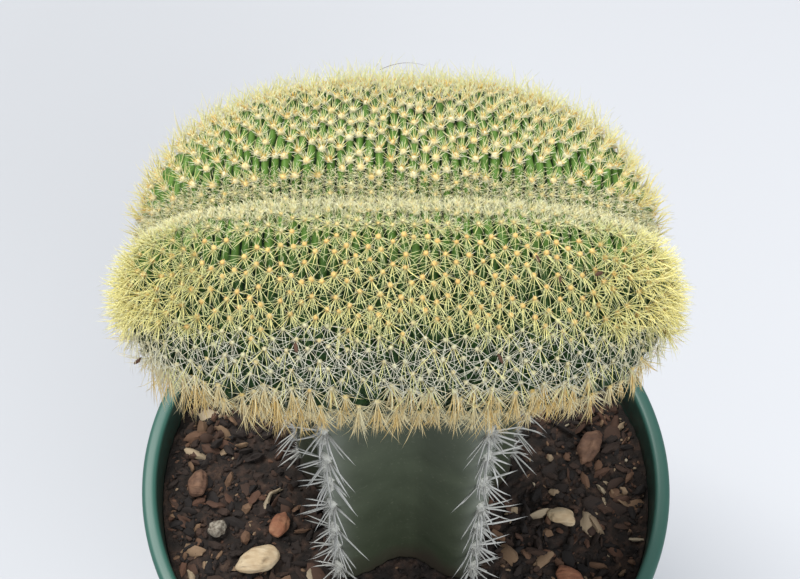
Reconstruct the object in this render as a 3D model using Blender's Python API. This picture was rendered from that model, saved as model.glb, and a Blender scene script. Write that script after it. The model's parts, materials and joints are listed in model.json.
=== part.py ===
"""A crested cactus grafted on a ribbed rootstock, standing in a round nursery pot.

Frame: +Z is up, the origin is the middle of the pot's foot, and -Y is the front.
The plant is a long cushion of flesh (the crest) whose growing line runs along X, over
its top.  It sits on the flat cut of a five-ribbed green column, the rootstock, whose
foot is buried in potting mix.  Every piece is one closed solid with its own material.
"""

import math

import bmesh
import bpy
import numpy as np
from mathutils import Matrix

MM = 0.001
GAP = 0.3 * MM              # clearance left between neighbours that touch

# ---- driving dimensions -------------------------------------------------------------
POT_HEIGHT = 88 * MM
POT_RIM_RADIUS = 50 * MM
POT_FOOT_RADIUS = 35 * MM
POT_WALL = 1.3 * MM
POT_FLOOR = 3.8 * MM        # top of the pot's floor above the ground
LIP_WIDTH = 2.9 * MM
COLLAR_HEIGHT = 14 * MM     # the thicker band below the lip
LEDGE = 0.6 * MM            # the small steps and roundings of the lip and collar
FOOT_RING_WIDTH = 3 * MM
FOOT_RECESS = 2.3 * MM      # how far the floor's underside stands above the ground
DRAIN_HOLES = 6
DRAIN_RADIUS = 3.6 * MM
DRAIN_CIRCLE = 22 * MM

SOIL_LEVEL = 79 * MM
SOIL_RELIEF = 0.7 * MM      # half height of the heaps and hollows in the mix
WELL_DEPTH = 34 * MM        # how deep the rootstock's foot is buried

RIBS = 5
RIB_RADIUS = 21.6 * MM      # rib crests at soil level
VALLEY_RADIUS = 13.6 * MM
RIB_SHARPNESS = 1.5
STOCK_FLARE = 0.06          # the column is this much wider at the graft
FIRST_RIB = math.radians(90)

GRAFT_LEVEL = 151.5 * MM    # the flat cut that the crest sits on
EQUATOR = 160.5 * MM        # height at which the crest is widest
CREST_RISE = 18.8 * MM      # from the equator to the top of the lobes
CREST_SINK = 11 * MM        # from the equator down, before the flat cut takes its share
CREST_CENTRE_X = -1.5 * MM
ARCH_POWER = 3.0            # squareness of the growing line's arch
FURROW_DEPTH = 2.0 * MM     # the growing line lies in a furrow between two lobes
FURROW_WIDTH = 3.4 * MM
END_ASPECT = 0.70           # share of a lobe's depth that its two ends keep

# half length, depth from the growing line and squareness of the outline, front and back
FRONT_LOBE = {"length": 39.5 * MM, "depth": 23.2 * MM, "power": 3.3, "side": -1}
BACK_LOBE = {"length": 37.5 * MM, "depth": 29.8 * MM, "power": 2.3, "side": 1}

SPINE_COAT = 3.0 * MM       # height of the spine coats above the flesh
COAT_GAP = 0.5 * MM
COAT_REACH = 0.955          # how far along the growing line the coats go

STATIONS = 37               # sections along the growing line
AROUND_POT = 64
AROUND_STOCK = 60

# ---- colours (linear) ---------------------------------------------------------------
POT_GREEN = (0.045, 0.22, 0.155)
MIX_BROWN = (0.022, 0.014, 0.010)
STOCK_GREEN = (0.075, 0.105, 0.065)
FLESH_GREEN = (0.075, 0.24, 0.045)
YELLOW_SPINE = (0.78, 0.64, 0.18)
CREAM_SPINE = (0.78, 0.72, 0.44)
WHITE_WOOL = (0.72, 0.70, 0.58)
TAN_SPINE = (0.70, 0.47, 0.21)
GREY_SPINE = (0.42, 0.42, 0.38)
BARK = (0.16, 0.075, 0.045)
PALE_WOOD = (0.50, 0.37, 0.22)
RED_BARK = (0.46, 0.13, 0.045)
PUMICE = (0.55, 0.50, 0.42)


# ---- building blocks ----------------------------------------------------------------
def material(name, colour, roughness, metallic=0.0):
    """A Principled material, made once for each name."""
    found = bpy.data.materials.get(name)
    if found:
        return found
    made = bpy.data.materials.new(name)
    made.use_nodes = True
    shader = made.node_tree.nodes["Principled BSDF"]
    shader.inputs["Base Color"].default_value = (*colour, 1.0)
    shader.inputs["Roughness"].default_value = roughness
    shader.inputs["Metallic"].default_value = metallic
    made.diffuse_color = (*colour, 1.0)
    return made


def add_object(name, bm, finish, smooth=True):
    """Turn a bmesh into a named object with outward faces and one material."""
    bmesh.ops.recalc_face_normals(bm, faces=bm.faces)
    mesh = bpy.data.meshes.new(name)
    bm.to_mesh(mesh)
    bm.free()
    if smooth:
        mesh.shade_smooth()
        mesh.set_sharp_from_angle(angle=math.radians(40))
    mesh.materials.append(finish)
    thing = bpy.data.objects.new(name, mesh)
    bpy.context.collection.objects.link(thing)
    return thing


def bridge(bm, lower, upper, closed=True):
    """Quads between two rows of vertices of the same length."""
    count = len(lower)
    for i in range(count if closed else count - 1):
        j = (i + 1) % count
        bm.faces.new((lower[i], lower[j], upper[j], upper[i]))


def fan(bm, ring, centre):
    """Triangles that close a ring at one middle point."""
    middle = bm.verts.new(centre)
    for i, vert in enumerate(ring):
        bm.faces.new((vert, ring[(i + 1) % len(ring)], middle))


def stacked_rings(name, rings, bottom, top, finish):
    """A solid of rings that follow one another, closed at the points bottom and top."""
    bm = bmesh.new()
    rows = [[bm.verts.new(point) for point in ring] for ring in rings]
    for lower, upper in zip(rows, rows[1:]):
        bridge(bm, lower, upper)
    fan(bm, rows[0], bottom)
    fan(bm, rows[-1], top)
    return add_object(name, bm, finish)


def round_ring(radius, height, angles):
    """Points of a level ring; radius and height may be numbers or one value per angle."""
    flat = radius * np.cos(angles), radius * np.sin(angles)
    return np.stack([*flat, np.broadcast_to(height, angles.shape)], axis=1)


# ---- pot ----------------------------------------------------------------------------
def pot_inner_radius(height):
    """Inner radius of the tapered wall below the collar, at a height above the ground."""
    share = height / (POT_HEIGHT - COLLAR_HEIGHT)
    widest = POT_RIM_RADIUS - LIP_WIDTH
    return POT_FOOT_RADIUS + (widest - POT_FOOT_RADIUS) * share - POT_WALL


def make_pot():
    """Turned shell with a rounded lip, a stacking collar, a foot ring and drain holes."""
    collar = POT_HEIGHT - COLLAR_HEIGHT
    inside = POT_RIM_RADIUS - LIP_WIDTH
    profile = [
        (POT_FOOT_RADIUS - FOOT_RING_WIDTH - LEDGE, FOOT_RECESS),
        (POT_FOOT_RADIUS - FOOT_RING_WIDTH, 0.0),
        (POT_FOOT_RADIUS, 0.0),
        (pot_inner_radius(collar / 2) + POT_WALL, collar / 2),
        (inside, collar),
        (inside + 3 * LEDGE, collar + 2 * LEDGE),
        (inside + 3 * LEDGE, POT_HEIGHT - 5 * LEDGE),
        (POT_RIM_RADIUS, POT_HEIGHT - 4 * LEDGE),
        (POT_RIM_RADIUS, POT_HEIGHT - LEDGE),
        (POT_RIM_RADIUS - LEDGE, POT_HEIGHT),
        (inside + LEDGE, POT_HEIGHT),
        (inside, POT_HEIGHT - LEDGE),
        (inside, collar + 3 * LEDGE),
        (pot_inner_radius(collar), collar + LEDGE),
        (pot_inner_radius(POT_FLOOR), POT_FLOOR),
    ]
    angles = np.linspace(0, 2 * math.pi, AROUND_POT, endpoint=False)
    rings = [round_ring(radius, height, angles) for radius, height in profile]
    finish = material("green_plastic", POT_GREEN, 0.38)
    bm = bmesh.new()
    rows = [[bm.verts.new(point) for point in ring] for ring in rings]
    for lower, upper in zip(rows, rows[1:]):
        bridge(bm, lower, upper)
    bm.faces.new(rows[0])
    bm.faces.new(rows[-1])
    pot = add_object("pot", bm, finish)
    cut = pot.modifiers.new("drain_holes", "BOOLEAN")
    cut.operation = "DIFFERENCE"
    cut.object = drain_cutter()
    return pot


def drain_cutter():
    """One ring of upright pins that punches the drain holes through the pot's floor."""
    bm = bmesh.new()
    for number in range(DRAIN_HOLES):
        turn = 2 * math.pi * (number + 0.5) / DRAIN_HOLES
        place = (DRAIN_CIRCLE * math.cos(turn), DRAIN_CIRCLE * math.sin(turn), POT_FLOOR)
        bmesh.ops.create_cone(
            bm, cap_ends=True, segments=16, radius1=DRAIN_RADIUS, radius2=DRAIN_RADIUS,
            depth=8 * MM, matrix=Matrix.Translation(place))
    cutter = add_object("drain_cutter", bm, material("cutter", (1, 0, 0), 1.0))
    cutter.hide_render = True
    cutter.display_type = "WIRE"
    return cutter


# ---- rootstock ----------------------------------------------------------------------
STOCK_ANGLES = np.linspace(0, 2 * math.pi, AROUND_STOCK, endpoint=False)


def stock_radius(angles, height):
    """Radius of the ribbed column: rounded ribs and broad valleys, flaring upward."""
    wave = (0.5 + 0.5 * np.cos(RIBS * (angles - FIRST_RIB))) ** RIB_SHARPNESS
    flare = 1 + STOCK_FLARE * (height - SOIL_LEVEL) / (GRAFT_LEVEL - SOIL_LEVEL)
    return (VALLEY_RADIUS + (RIB_RADIUS - VALLEY_RADIUS) * wave) * flare


def make_rootstock():
    """The column, from its rounded buried foot to the bevelled flat cut of the graft."""
    foot = SOIL_LEVEL - WELL_DEPTH + GAP
    top = GRAFT_LEVEL - GAP
    bevel = 1.6 * MM
    levels = [(foot, 0.80), (foot + 5 * MM, 0.97), (SOIL_LEVEL - 12 * MM, 1.0)]
    levels += [(SOIL_LEVEL + step * (top - bevel - SOIL_LEVEL) / 6, 1.0) for step in range(7)]
    levels += [(top, 0.92)]
    rings = [
        round_ring(stock_radius(STOCK_ANGLES, height) * share, height, STOCK_ANGLES)
        for height, share in levels
    ]
    finish = material("stock_skin", STOCK_GREEN, 0.6)
    return stacked_rings("rootstock", rings, (0, 0, foot), (0, 0, top), finish)


def make_stock_spines(number):
    """One rib's line of areoles: a slim woolly bead that swells at every areole."""
    turn = FIRST_RIB + 2 * math.pi * number / RIBS
    thin, thick = 0.6 * MM, 1.3 * MM
    pitch = 7 * MM
    start, end = SOIL_LEVEL + 2.5 * MM, GRAFT_LEVEL - 5 * MM
    heights = np.linspace(start, end, 28)
    swell = np.abs(np.cos(math.pi * (heights - start) / pitch)) ** 3
    girth = thin + (thick - thin) * swell
    around = np.linspace(0, 2 * math.pi, 6, endpoint=False)
    rings = []
    for height, size in zip(heights, girth):
        out = float(stock_radius(np.array([turn]), height)[0]) + GAP + size
        across, away = size * np.cos(around), out + size * np.sin(around)
        rings.append(np.stack([
            away * math.cos(turn) - across * math.sin(turn),
            away * math.sin(turn) + across * math.cos(turn),
            np.full(6, height)], axis=1))
    ends = [ring.mean(axis=0) for ring in (rings[0], rings[-1])]
    finish = material("stock_wool", GREY_SPINE, 0.9)
    return stacked_rings(f"stock_spines_{number + 1}", rings, *ends, finish)


# ---- soil ---------------------------------------------------------------------------
def soil_height(x, y):
    """Low heaps and hollows of the potting mix, a little higher at the pot's wall."""
    waves = np.sin(x / (6.1 * MM) + 1.3) * np.cos(y / (7.3 * MM) - 0.4)
    waves = waves + 0.6 * np.sin((x - y) / (4.7 * MM))
    rise = 0.8 * MM * (np.hypot(x, y) / POT_RIM_RADIUS) ** 4
    return SOIL_LEVEL + SOIL_RELIEF * waves + rise


def make_soil():
    """Potting mix that fills the pot, with a well that the rootstock's foot stands in."""
    floor = POT_FLOOR + GAP
    well = SOIL_LEVEL - WELL_DEPTH
    inner = stock_radius(STOCK_ANGLES, SOIL_LEVEL) + GAP * 1.5
    outer = POT_RIM_RADIUS - LIP_WIDTH - GAP
    collar = POT_HEIGHT - COLLAR_HEIGHT
    steps = 7
    surface = []
    for step in range(steps + 1):
        radius = inner + (outer - inner) * step / steps
        x, y = radius * np.cos(STOCK_ANGLES), radius * np.sin(STOCK_ANGLES)
        surface.append(round_ring(radius, soil_height(x, y), STOCK_ANGLES))
    below = [
        (outer, collar + 4 * LEDGE),
        (pot_inner_radius(collar) - GAP, collar + 2 * LEDGE),
        (pot_inner_radius(collar) - GAP, collar),
        (pot_inner_radius(floor) - GAP, floor),
    ]
    rings = [round_ring(inner, well, STOCK_ANGLES), *surface]
    rings += [round_ring(radius, height, STOCK_ANGLES) for radius, height in below]
    finish = material("potting_mix", MIX_BROWN, 0.95)
    return stacked_rings("soil", rings, (0, 0, well), (0, 0, floor), finish)


# name, x, y, length, width, thickness (all mm), turn in degrees, colour
CHIPS = [
    ("wood_chip_1", -28.0, -15.0, 9.5, 6.0, 3.0, 25, PALE_WOOD),
    ("bark_chip_1", -24.0, -8.0, 6.0, 4.0, 2.2, 70, RED_BARK),
    ("wood_chip_2", 30.0, -6.5, 6.5, 4.0, 2.4, -20, PALE_WOOD),
    ("bark_chip_2", -40.0, 0.5, 7.0, 4.5, 2.6, 80, BARK),
    ("bark_chip_3", 36.0, 8.0, 8.5, 5.0, 2.8, 65, BARK),
    ("pumice_1", -36.0, -9.0, 4.2, 3.8, 2.8, 10, PUMICE),
    ("bark_chip_4", 31.0, -19.0, 8.0, 5.0, 2.4, 130, RED_BARK),
    ("pumice_2", 24.5, -30.0, 4.0, 3.4, 2.6, 45, PUMICE),
    ("bark_chip_5", -19.0, -35.5, 9.0, 5.0, 2.6, 160, BARK),
    ("wood_chip_3", 6.0, -37.0, 7.5, 4.4, 2.4, 15, PALE_WOOD),
    ("bark_chip_6", 9.0, 37.0, 9.5, 5.6, 3.0, -15, BARK),
    ("pumice_3", -14.0, 35.0, 4.6, 4.0, 3.0, 30, PUMICE),
    ("bark_chip_7", -33.0, 22.0, 8.5, 5.4, 2.8, 120, RED_BARK),
    ("pumice_4", 27.0, 27.5, 4.4, 3.8, 2.8, 75, PUMICE),
]


def make_chip(seed, name, x, y, length, width, thickness, turn, colour):
    """A broken chip or grain: an uneven slab with a smaller top, lying on the mix."""
    rng = np.random.default_rng(seed)
    corners = 8
    angles = np.linspace(0, 2 * math.pi, corners, endpoint=False) + math.radians(turn)
    ragged = rng.uniform(0.86, 1.0, corners)
    along = np.cos(angles - math.radians(turn)) * length / 2 * ragged
    across = np.sin(angles - math.radians(turn)) * width / 2 * ragged
    turned_x = along * math.cos(math.radians(turn)) - across * math.sin(math.radians(turn))
    turned_y = along * math.sin(math.radians(turn)) + across * math.cos(math.radians(turn))
    rings = []
    for share, lift in ((0.72, 0.0), (1.0, 0.35), (0.94, 0.7), (0.55, 1.0)):
        px, py = (x + turned_x * share) * MM, (y + turned_y * share) * MM
        rings.append([px, py, lift * thickness * MM * rng.uniform(0.9, 1.0, corners)])
    slack = 0.35 * MM
    highest = max(float(soil_height(px, py).max()) for px, py, _ in rings)
    base = max(highest, float(soil_height(x * MM, y * MM))) + GAP + slack / 4
    solid = [np.stack([px, py, base + pz], axis=1) for px, py, pz in rings]
    bottom = (x * MM, y * MM, base)
    top = (x * MM, y * MM, float(solid[-1][:, 2].max()) + slack / 2)
    kind = name.rsplit("_", 1)[0]
    finish = material(f"{kind}_{'red' if colour is RED_BARK else 'plain'}", colour, 0.85)
    chip = stacked_rings(name, solid, bottom, top, finish)
    chip.data.shade_flat()
    return chip


# ---- crest --------------------------------------------------------------------------
def spread(value, power):
    """Superellipse step: the sign of the value with its size raised to 2 / power."""
    return np.sign(value) * np.abs(value) ** (2 / power)


def lobe_surface(u, turn, lobe):
    """Points of one lobe for u in -1..1 along the growing line and turn in 0..pi.

    At turn 0 the point is on the growing line, at pi/2 on the widest line in front (or
    behind), and at pi on the underside.  Sections lean outward toward the two ends.
    """
    half, depth, power = lobe["length"], lobe["depth"], lobe["power"]
    arch = u * math.pi / 2
    line_x = half * spread(np.sin(arch), ARCH_POWER)
    end_share = (1 - END_ASPECT ** power) ** (1 / power)
    base_x = end_share * line_x
    reach = depth * (1 - np.abs(base_x / half) ** power) ** (1 / power)
    over = np.clip(np.sin(turn), 0, 1) ** (2 / 2.15)
    height = np.abs(np.cos(turn)) ** (2 / 2.15)
    outline = (1 - (END_ASPECT * over) ** power) ** (1 / power)
    lean = (outline - end_share) / (1 - end_share)
    under = turn > math.pi / 2
    gather = 1 - 0.3 * (1 - np.abs(np.sin(arch)) ** 6)
    line_x = np.where(under, line_x * gather, line_x)
    rise = CREST_RISE * np.abs(np.cos(arch)) ** (2 / ARCH_POWER)
    sink = CREST_SINK * np.abs(np.cos(arch)) ** (2 / ARCH_POWER)
    x = base_x + (line_x - base_x) * lean
    y = lobe["side"] * reach * over
    z = np.where(under, -sink, rise) * height
    away = np.stack([line_x - base_x, rise * np.where(under, 0, 1)])
    away = away / np.maximum(np.hypot(*away), 1e-9)
    fade = np.where(under, np.abs(np.sin(arch)) ** 12, 1.0)
    dip = FURROW_DEPTH * fade * np.exp(-((y / FURROW_WIDTH) ** 2))
    x = CREST_CENTRE_X + x - dip * away[0]
    z = np.maximum(EQUATOR + z - dip * away[1], GRAFT_LEVEL)
    return np.stack([x, y, z], axis=-1)


def crest_surface(u, turn):
    """Both lobes joined: turn runs -pi..pi, front lobe positive and back lobe negative.

    The growing line itself is shared, so each lobe's length eases to the mean length
    as it comes up to the line.
    """
    u, turn = np.broadcast_arrays(np.asarray(u, float), np.asarray(turn, float))
    size = np.abs(turn)
    front = lobe_surface(u, size, FRONT_LOBE)
    back = lobe_surface(u, size, BACK_LOBE)
    own = np.where((turn >= 0)[..., None], front, back)
    other = np.where((turn >= 0)[..., None], back, front)
    closeness = 0.5 * np.exp(-((np.sin(size) / 0.28) ** 2))
    shared = own[..., 0] * (1 - closeness) + other[..., 0] * closeness
    return np.stack([shared, own[..., 1], own[..., 2]], axis=-1)


def crest_normals(u, turn):
    """Outward unit normals of the crest, from small steps along both parameters."""
    step = 1e-3
    u = np.clip(u, -1 + step, 1 - step)
    along = crest_surface(u + step, turn) - crest_surface(u - step, turn)
    around = crest_surface(u, turn + step) - crest_surface(u, turn - step)
    normal = np.cross(around, along)
    return normal / np.linalg.norm(normal, axis=-1, keepdims=True)


def make_crest():
    """The flesh of the crest: a closed cushion with a furrow and a flat graft cut.

    Turns above and below the equator mirror each other, so that the two ends close.
    """
    upper = np.array([0, 7, *range(18, 80, 12)])
    half = np.radians(np.concatenate((upper, [90], 180 - upper[::-1])))
    turns = np.concatenate((half, -half[-2:0:-1]))
    stations = np.linspace(-1, 1, STATIONS)
    points = crest_surface(stations[:, None], turns[None, :])
    bm = bmesh.new()
    rows = [[bm.verts.new(point) for point in row] for row in points]
    for lower, upper in zip(rows, rows[1:]):
        bridge(bm, lower, upper)
    bmesh.ops.remove_doubles(bm, verts=bm.verts, dist=1e-6)
    bmesh.ops.dissolve_degenerate(bm, edges=bm.edges, dist=1e-6)
    return add_object("crest", bm, material("crest_flesh", FLESH_GREEN, 0.45))


def make_coat(name, first, last, rows, colour):
    """A skin over part of the crest, where its spines or wool stand.

    It covers turns first..last (degrees) and stops short of the crest's two ends.
    """
    along = np.linspace(-COAT_REACH, COAT_REACH, 25)[:, None]
    turns = np.radians(np.linspace(first, last, rows))[None, :]
    base, normal = crest_surface(along, turns), crest_normals(along, turns)
    taper = 0.35 + 0.65 * np.sin(np.linspace(0.12, 0.88, rows) * math.pi)[None, :, None]
    inner = base + normal * COAT_GAP
    outer = base + normal * (COAT_GAP + (SPINE_COAT - COAT_GAP) * taper)
    bm = bmesh.new()
    skins = [[[bm.verts.new(p) for p in row] for row in grid] for grid in (inner, outer)]
    for grid in skins:
        for lower, upper in zip(grid, grid[1:]):
            bridge(bm, lower, upper, closed=False)
    below, above = skins
    for edge in (0, -1):
        bridge(bm, below[edge], above[edge], closed=False)
        bridge(bm, [row[edge] for row in below], [row[edge] for row in above], closed=False)
    return add_object(name, bm, material(f"{name}_coat", colour, 0.8))


# ---- assembly -----------------------------------------------------------------------
def clear_scene():
    for thing in list(bpy.data.objects):
        bpy.data.objects.remove(thing, do_unlink=True)


def main():
    clear_scene()
    make_pot()
    make_soil()
    make_rootstock()
    for number in range(RIBS):
        make_stock_spines(number)
    for seed, chip in enumerate(CHIPS):
        make_chip(seed, *chip)
    make_crest()
    make_coat("growing_line_wool", -7, 7, 5, WHITE_WOOL)
    make_coat("front_spines", 9, 84, 9, YELLOW_SPINE)
    make_coat("back_spines", -84, -9, 9, CREAM_SPINE)
    make_coat("front_skirt_spines", 87, 128, 6, TAN_SPINE)
    make_coat("back_skirt_spines", -128, -87, 6, TAN_SPINE)


main()
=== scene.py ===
# %% [markdown]
# # A crested cactus on a ribbed rootstock, in a nursery pot
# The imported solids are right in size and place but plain.  Each cell below gives one of
# them its real surface, or adds what is too fine to be a solid: ribs, spines, wool and
# crumbs of bark.  The solids are loaded first, and their box is kept.

# %% Load the solids
import json
import math
from functools import partial, partialmethod

import bmesh
import bpy
import numpy as np
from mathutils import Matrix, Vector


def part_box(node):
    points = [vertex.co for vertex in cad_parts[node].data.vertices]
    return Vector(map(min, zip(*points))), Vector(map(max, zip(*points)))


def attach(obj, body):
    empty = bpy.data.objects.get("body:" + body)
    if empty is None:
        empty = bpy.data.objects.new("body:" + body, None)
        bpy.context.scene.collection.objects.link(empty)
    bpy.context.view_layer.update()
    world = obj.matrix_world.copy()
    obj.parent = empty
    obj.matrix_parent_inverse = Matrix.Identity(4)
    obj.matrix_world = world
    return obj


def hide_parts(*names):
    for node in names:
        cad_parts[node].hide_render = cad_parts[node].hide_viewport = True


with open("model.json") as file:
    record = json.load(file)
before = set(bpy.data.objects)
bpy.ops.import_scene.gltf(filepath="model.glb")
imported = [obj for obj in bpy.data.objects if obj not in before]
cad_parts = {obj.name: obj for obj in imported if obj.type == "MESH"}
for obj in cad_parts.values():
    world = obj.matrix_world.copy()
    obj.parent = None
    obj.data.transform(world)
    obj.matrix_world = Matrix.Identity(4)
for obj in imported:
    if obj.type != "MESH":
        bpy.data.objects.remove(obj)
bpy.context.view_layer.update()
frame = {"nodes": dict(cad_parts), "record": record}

MM = 0.001
TURN = 2 * math.pi
BODY = "root"
draws = np.random.default_rng
print("nodes:", len(frame["nodes"]))

# %% [markdown]
# ## Camera, light and floor
# The plant is seen from above and in front, and the crest fills the view: a steep line
# over the rim and a long lens.  The camera's place is measured from the rim.

# %% Camera
rim_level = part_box("pot")[1][2]
CAMERA_SIDE, CAMERA_BACK, CAMERA_UP = -1.1 * MM, -129.3 * MM, 276.6 * MM
CAMERA_PITCH = math.radians(58.5)
lens = bpy.data.cameras.new("camera")
lens.lens = 72.0
lens.clip_start = 0.01
camera = bpy.data.objects.new("camera", lens)
camera.location = (CAMERA_SIDE, CAMERA_BACK, rim_level + CAMERA_UP)
camera.rotation_euler = (math.pi / 2 - CAMERA_PITCH, 0.0, 0.0)
bpy.context.collection.objects.link(camera)
bpy.context.scene.camera = camera
print("camera height above the rim, mm:", round(CAMERA_UP / MM, 1))

# %% [markdown]
# Hard light turns every spine into a white line and a black one, so the light is large and
# soft: a bright sky fills the shadows, a big panel from the upper left gives the shape, and
# a weaker one from the right opens the other side.

# %% Light and floor
def area_light(name, place, size, power, colour):
    """A square soft light at place that faces the crest."""
    light = bpy.data.lights.new(name, "AREA")
    light.size, light.energy, light.color = size, power, colour
    lamp = bpy.data.objects.new(name, light)
    lamp.location = place
    heading = crest_middle - lamp.location
    lamp.rotation_euler = heading.to_track_quat("-Z", "Y").to_euler()
    bpy.context.collection.objects.link(lamp)


crest_low, crest_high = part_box("crest")
crest_middle = (crest_low + crest_high) / 2
area_light("key", (-0.25, 0.20, 0.85), 0.45, 8.0, (1.0, 0.985, 0.955))
area_light("front", (0.30, -0.55, 0.60), 0.5, 3.6, (0.98, 0.99, 1.0))

sky = bpy.data.worlds.new("sky")
sky.use_nodes = True
dome = sky.node_tree.nodes["Background"]
dome.inputs["Color"].default_value = (0.90, 0.94, 1.0, 1.0)
dome.inputs["Strength"].default_value = 0.60
bpy.context.scene.world = sky
bpy.context.scene.view_settings.view_transform = "Standard"

# %% [markdown]
# ## Two helpers: wires for materials, arrays for meshes
# A procedural material is arithmetic on values that change over the surface.  A Wire
# stands for one such value, and + - * ** on it add Math nodes, so that a formula in the
# code reads like the formula on paper.  Paint holds one material.

# %% Material helper
STRIP_MAP = "OFBake"


class Wire:
    """The output of a node; arithmetic on it adds Math nodes to the same material."""

    def __init__(self, paint, socket):
        self.paint, self.socket = paint, socket

    def math(self, operation, *others):
        return self.paint.node("ShaderNodeMath", {"operation": operation}, self, *others)

    def __rsub__(self, other):
        return self * -1.0 + other

    def clamped(self):
        return self.paint.node("ShaderNodeClamp", {}, self)

    __add__ = __radd__ = partialmethod(math, "ADD")
    __mul__ = __rmul__ = partialmethod(math, "MULTIPLY")
    __sub__ = partialmethod(math, "SUBTRACT")
    __pow__ = partialmethod(math, "POWER")


class Paint:
    """A Principled material under construction."""

    def __init__(self, name, roughness, **fixed):
        self.material = bpy.data.materials.new(name)
        self.material.use_nodes = True
        self.tree = self.material.node_tree
        self.shader = self.tree.nodes["Principled BSDF"]
        self.shader.inputs["Roughness"].default_value = roughness
        for socket, value in fixed.items():
            self.put(value, self.shader.inputs[socket.replace("_", " ")])

    def put(self, value, socket):
        """Link a wire to a socket, or set a plain number or colour on it."""
        if isinstance(value, Wire):
            self.tree.links.new(value.socket, socket)
        elif socket.type == "RGBA":
            socket.default_value = (*value, 1.0)
        else:
            socket.default_value = value

    def node(self, kind, settings, *values, out=0, **named):
        """Add a node: its settings first, then its sockets by order or by name."""
        made = self.tree.nodes.new(kind)
        for key, setting in settings.items():
            if key != "stops":
                setattr(made, key, setting)
                continue
            elements = made.color_ramp.elements
            while len(elements) < len(setting):
                elements.new(0.5)
            for element, (place, colour) in zip(elements, setting):
                element.position, element.color = place, (*colour, 1.0)
        for key, value in (*enumerate(values), *named.items()):
            name = key if isinstance(key, int) else key.replace("_", " ")
            self.put(value, made.inputs[name])
        return Wire(self, made.outputs[out])

    def mix(self, share, first, second):
        """Colour between first (share 0) and second (share 1)."""
        mixed = self.node("ShaderNodeMix", {"data_type": "RGBA"}, share, out=2)
        for index, colour in ((6, first), (7, second)):
            self.put(colour, mixed.socket.node.inputs[index])
        return mixed

    def place(self):
        """Object coordinates, in metres."""
        return self.node("ShaderNodeTexCoord", {}, out=3)

    def noise(self, scale, detail, vector=None):
        return self.node("ShaderNodeTexNoise", {}, Scale=scale, Detail=detail,
                         Vector=vector or self.place())

    def reads(self, attribute):
        """A number stored on the mesh's points."""
        return self.node("ShaderNodeAttribute", {"attribute_name": attribute}, out=2)

    def axis(self, vector, number):
        """One coordinate of a vector."""
        return self.node("ShaderNodeSeparateXYZ", {}, vector, out=number)

    def strip(self):
        """Both numbers of the piece's own map: its tint, and how far out the point is."""
        pair = self.node("ShaderNodeUVMap", {"uv_map": STRIP_MAP})
        return self.axis(pair, 0), self.axis(pair, 1)

    def ramp(self, value, stops):
        return self.node("ShaderNodeValToRGB", {"stops": stops}, value)

    def finish(self, colour, roughness=None, height=None, depth=0.0, strength=1.0):
        """Wire up the colour, and where given the roughness and a bump of some depth."""
        self.put(colour, self.shader.inputs["Base Color"])
        if roughness is not None:
            self.put(roughness, self.shader.inputs["Roughness"])
        if height is not None:
            bump = self.node("ShaderNodeBump", {}, Strength=strength, Distance=depth,
                             Height=height)
            self.put(bump, self.shader.inputs["Normal"])
        return self.material


# %% [markdown]
# A mesh is put into Blender from whole arrays: points, four-sided faces, three-sided
# faces, and a map with one pair of numbers for each corner of each face.  Fine pieces all
# share one small strip of the map, because the colour of a spine depends only on its tint
# and on how far along the spine a point is.

# %% Mesh helper
def mesh_piece(name, points, quads, tris, material, corner_map=None, values=None):
    """Make an object from arrays, let it ride on the body and give it one material."""
    quads = np.asarray(quads, np.int32).reshape(-1, 4)
    tris = np.asarray(tris, np.int32).reshape(-1, 3)
    corners = np.concatenate((quads.ravel(), tris.ravel())).astype(np.int32)
    sides = np.repeat([4, 3], [len(quads), len(tris)])
    starts = (np.cumsum(sides) - sides).astype(np.int32)
    mesh = bpy.data.meshes.new(name)
    mesh.vertices.add(len(points))
    mesh.vertices.foreach_set("co", np.asarray(points, np.float32).ravel())
    mesh.loops.add(len(corners))
    mesh.loops.foreach_set("vertex_index", corners)
    mesh.polygons.add(len(starts))
    mesh.polygons.foreach_set("loop_start", starts)
    mesh.update(calc_edges=True)
    mesh.shade_smooth()
    if corner_map is not None:
        layer = mesh.uv_layers.new(name=STRIP_MAP)
        layer.uv.foreach_set("vector", np.asarray(corner_map, np.float32).ravel())
    for key, numbers in (values or {}).items():
        attribute = mesh.attributes.new(key, "FLOAT", "POINT")
        attribute.data.foreach_set("value", np.asarray(numbers, np.float32).ravel())
    mesh.materials.append(material)
    piece = bpy.data.objects.new(name, mesh)
    bpy.context.collection.objects.link(piece)
    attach(piece, BODY)
    print(f"{name}: {len(points)} points, {2 * len(quads) + len(tris)} triangles")
    return piece


def unit(vectors):
    """Vectors of length one, in the same directions."""
    return vectors / np.maximum(np.linalg.norm(vectors, axis=-1, keepdims=True), 1e-12)


def swing(first, second, angle):
    """first * cos(angle) + second * sin(angle), for rows of vectors."""
    return first * np.cos(angle)[..., None] + second * np.sin(angle)[..., None]


def ring_quads(rings, count):
    """Four-sided faces between closed rings of count points, one after the other."""
    k = np.arange(count)
    j = (k + 1) % count
    first = np.stack([k, j, j + count, k + count], axis=1)
    return (count * np.arange(rings - 1)[:, None, None] + first).reshape(-1, 4)


def cap(ring, point, count):
    """Three-sided faces between one point and the closed ring that starts at ring."""
    k = np.arange(count)
    return np.stack([k + ring, (k + 1) % count + ring, np.full(count, point)], axis=1)


def smoothstep(value):
    """0 below 0, 1 above 1, and an even S-curve between."""
    value = np.clip(value, 0, 1)
    return value * value * (3 - 2 * value)
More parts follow.
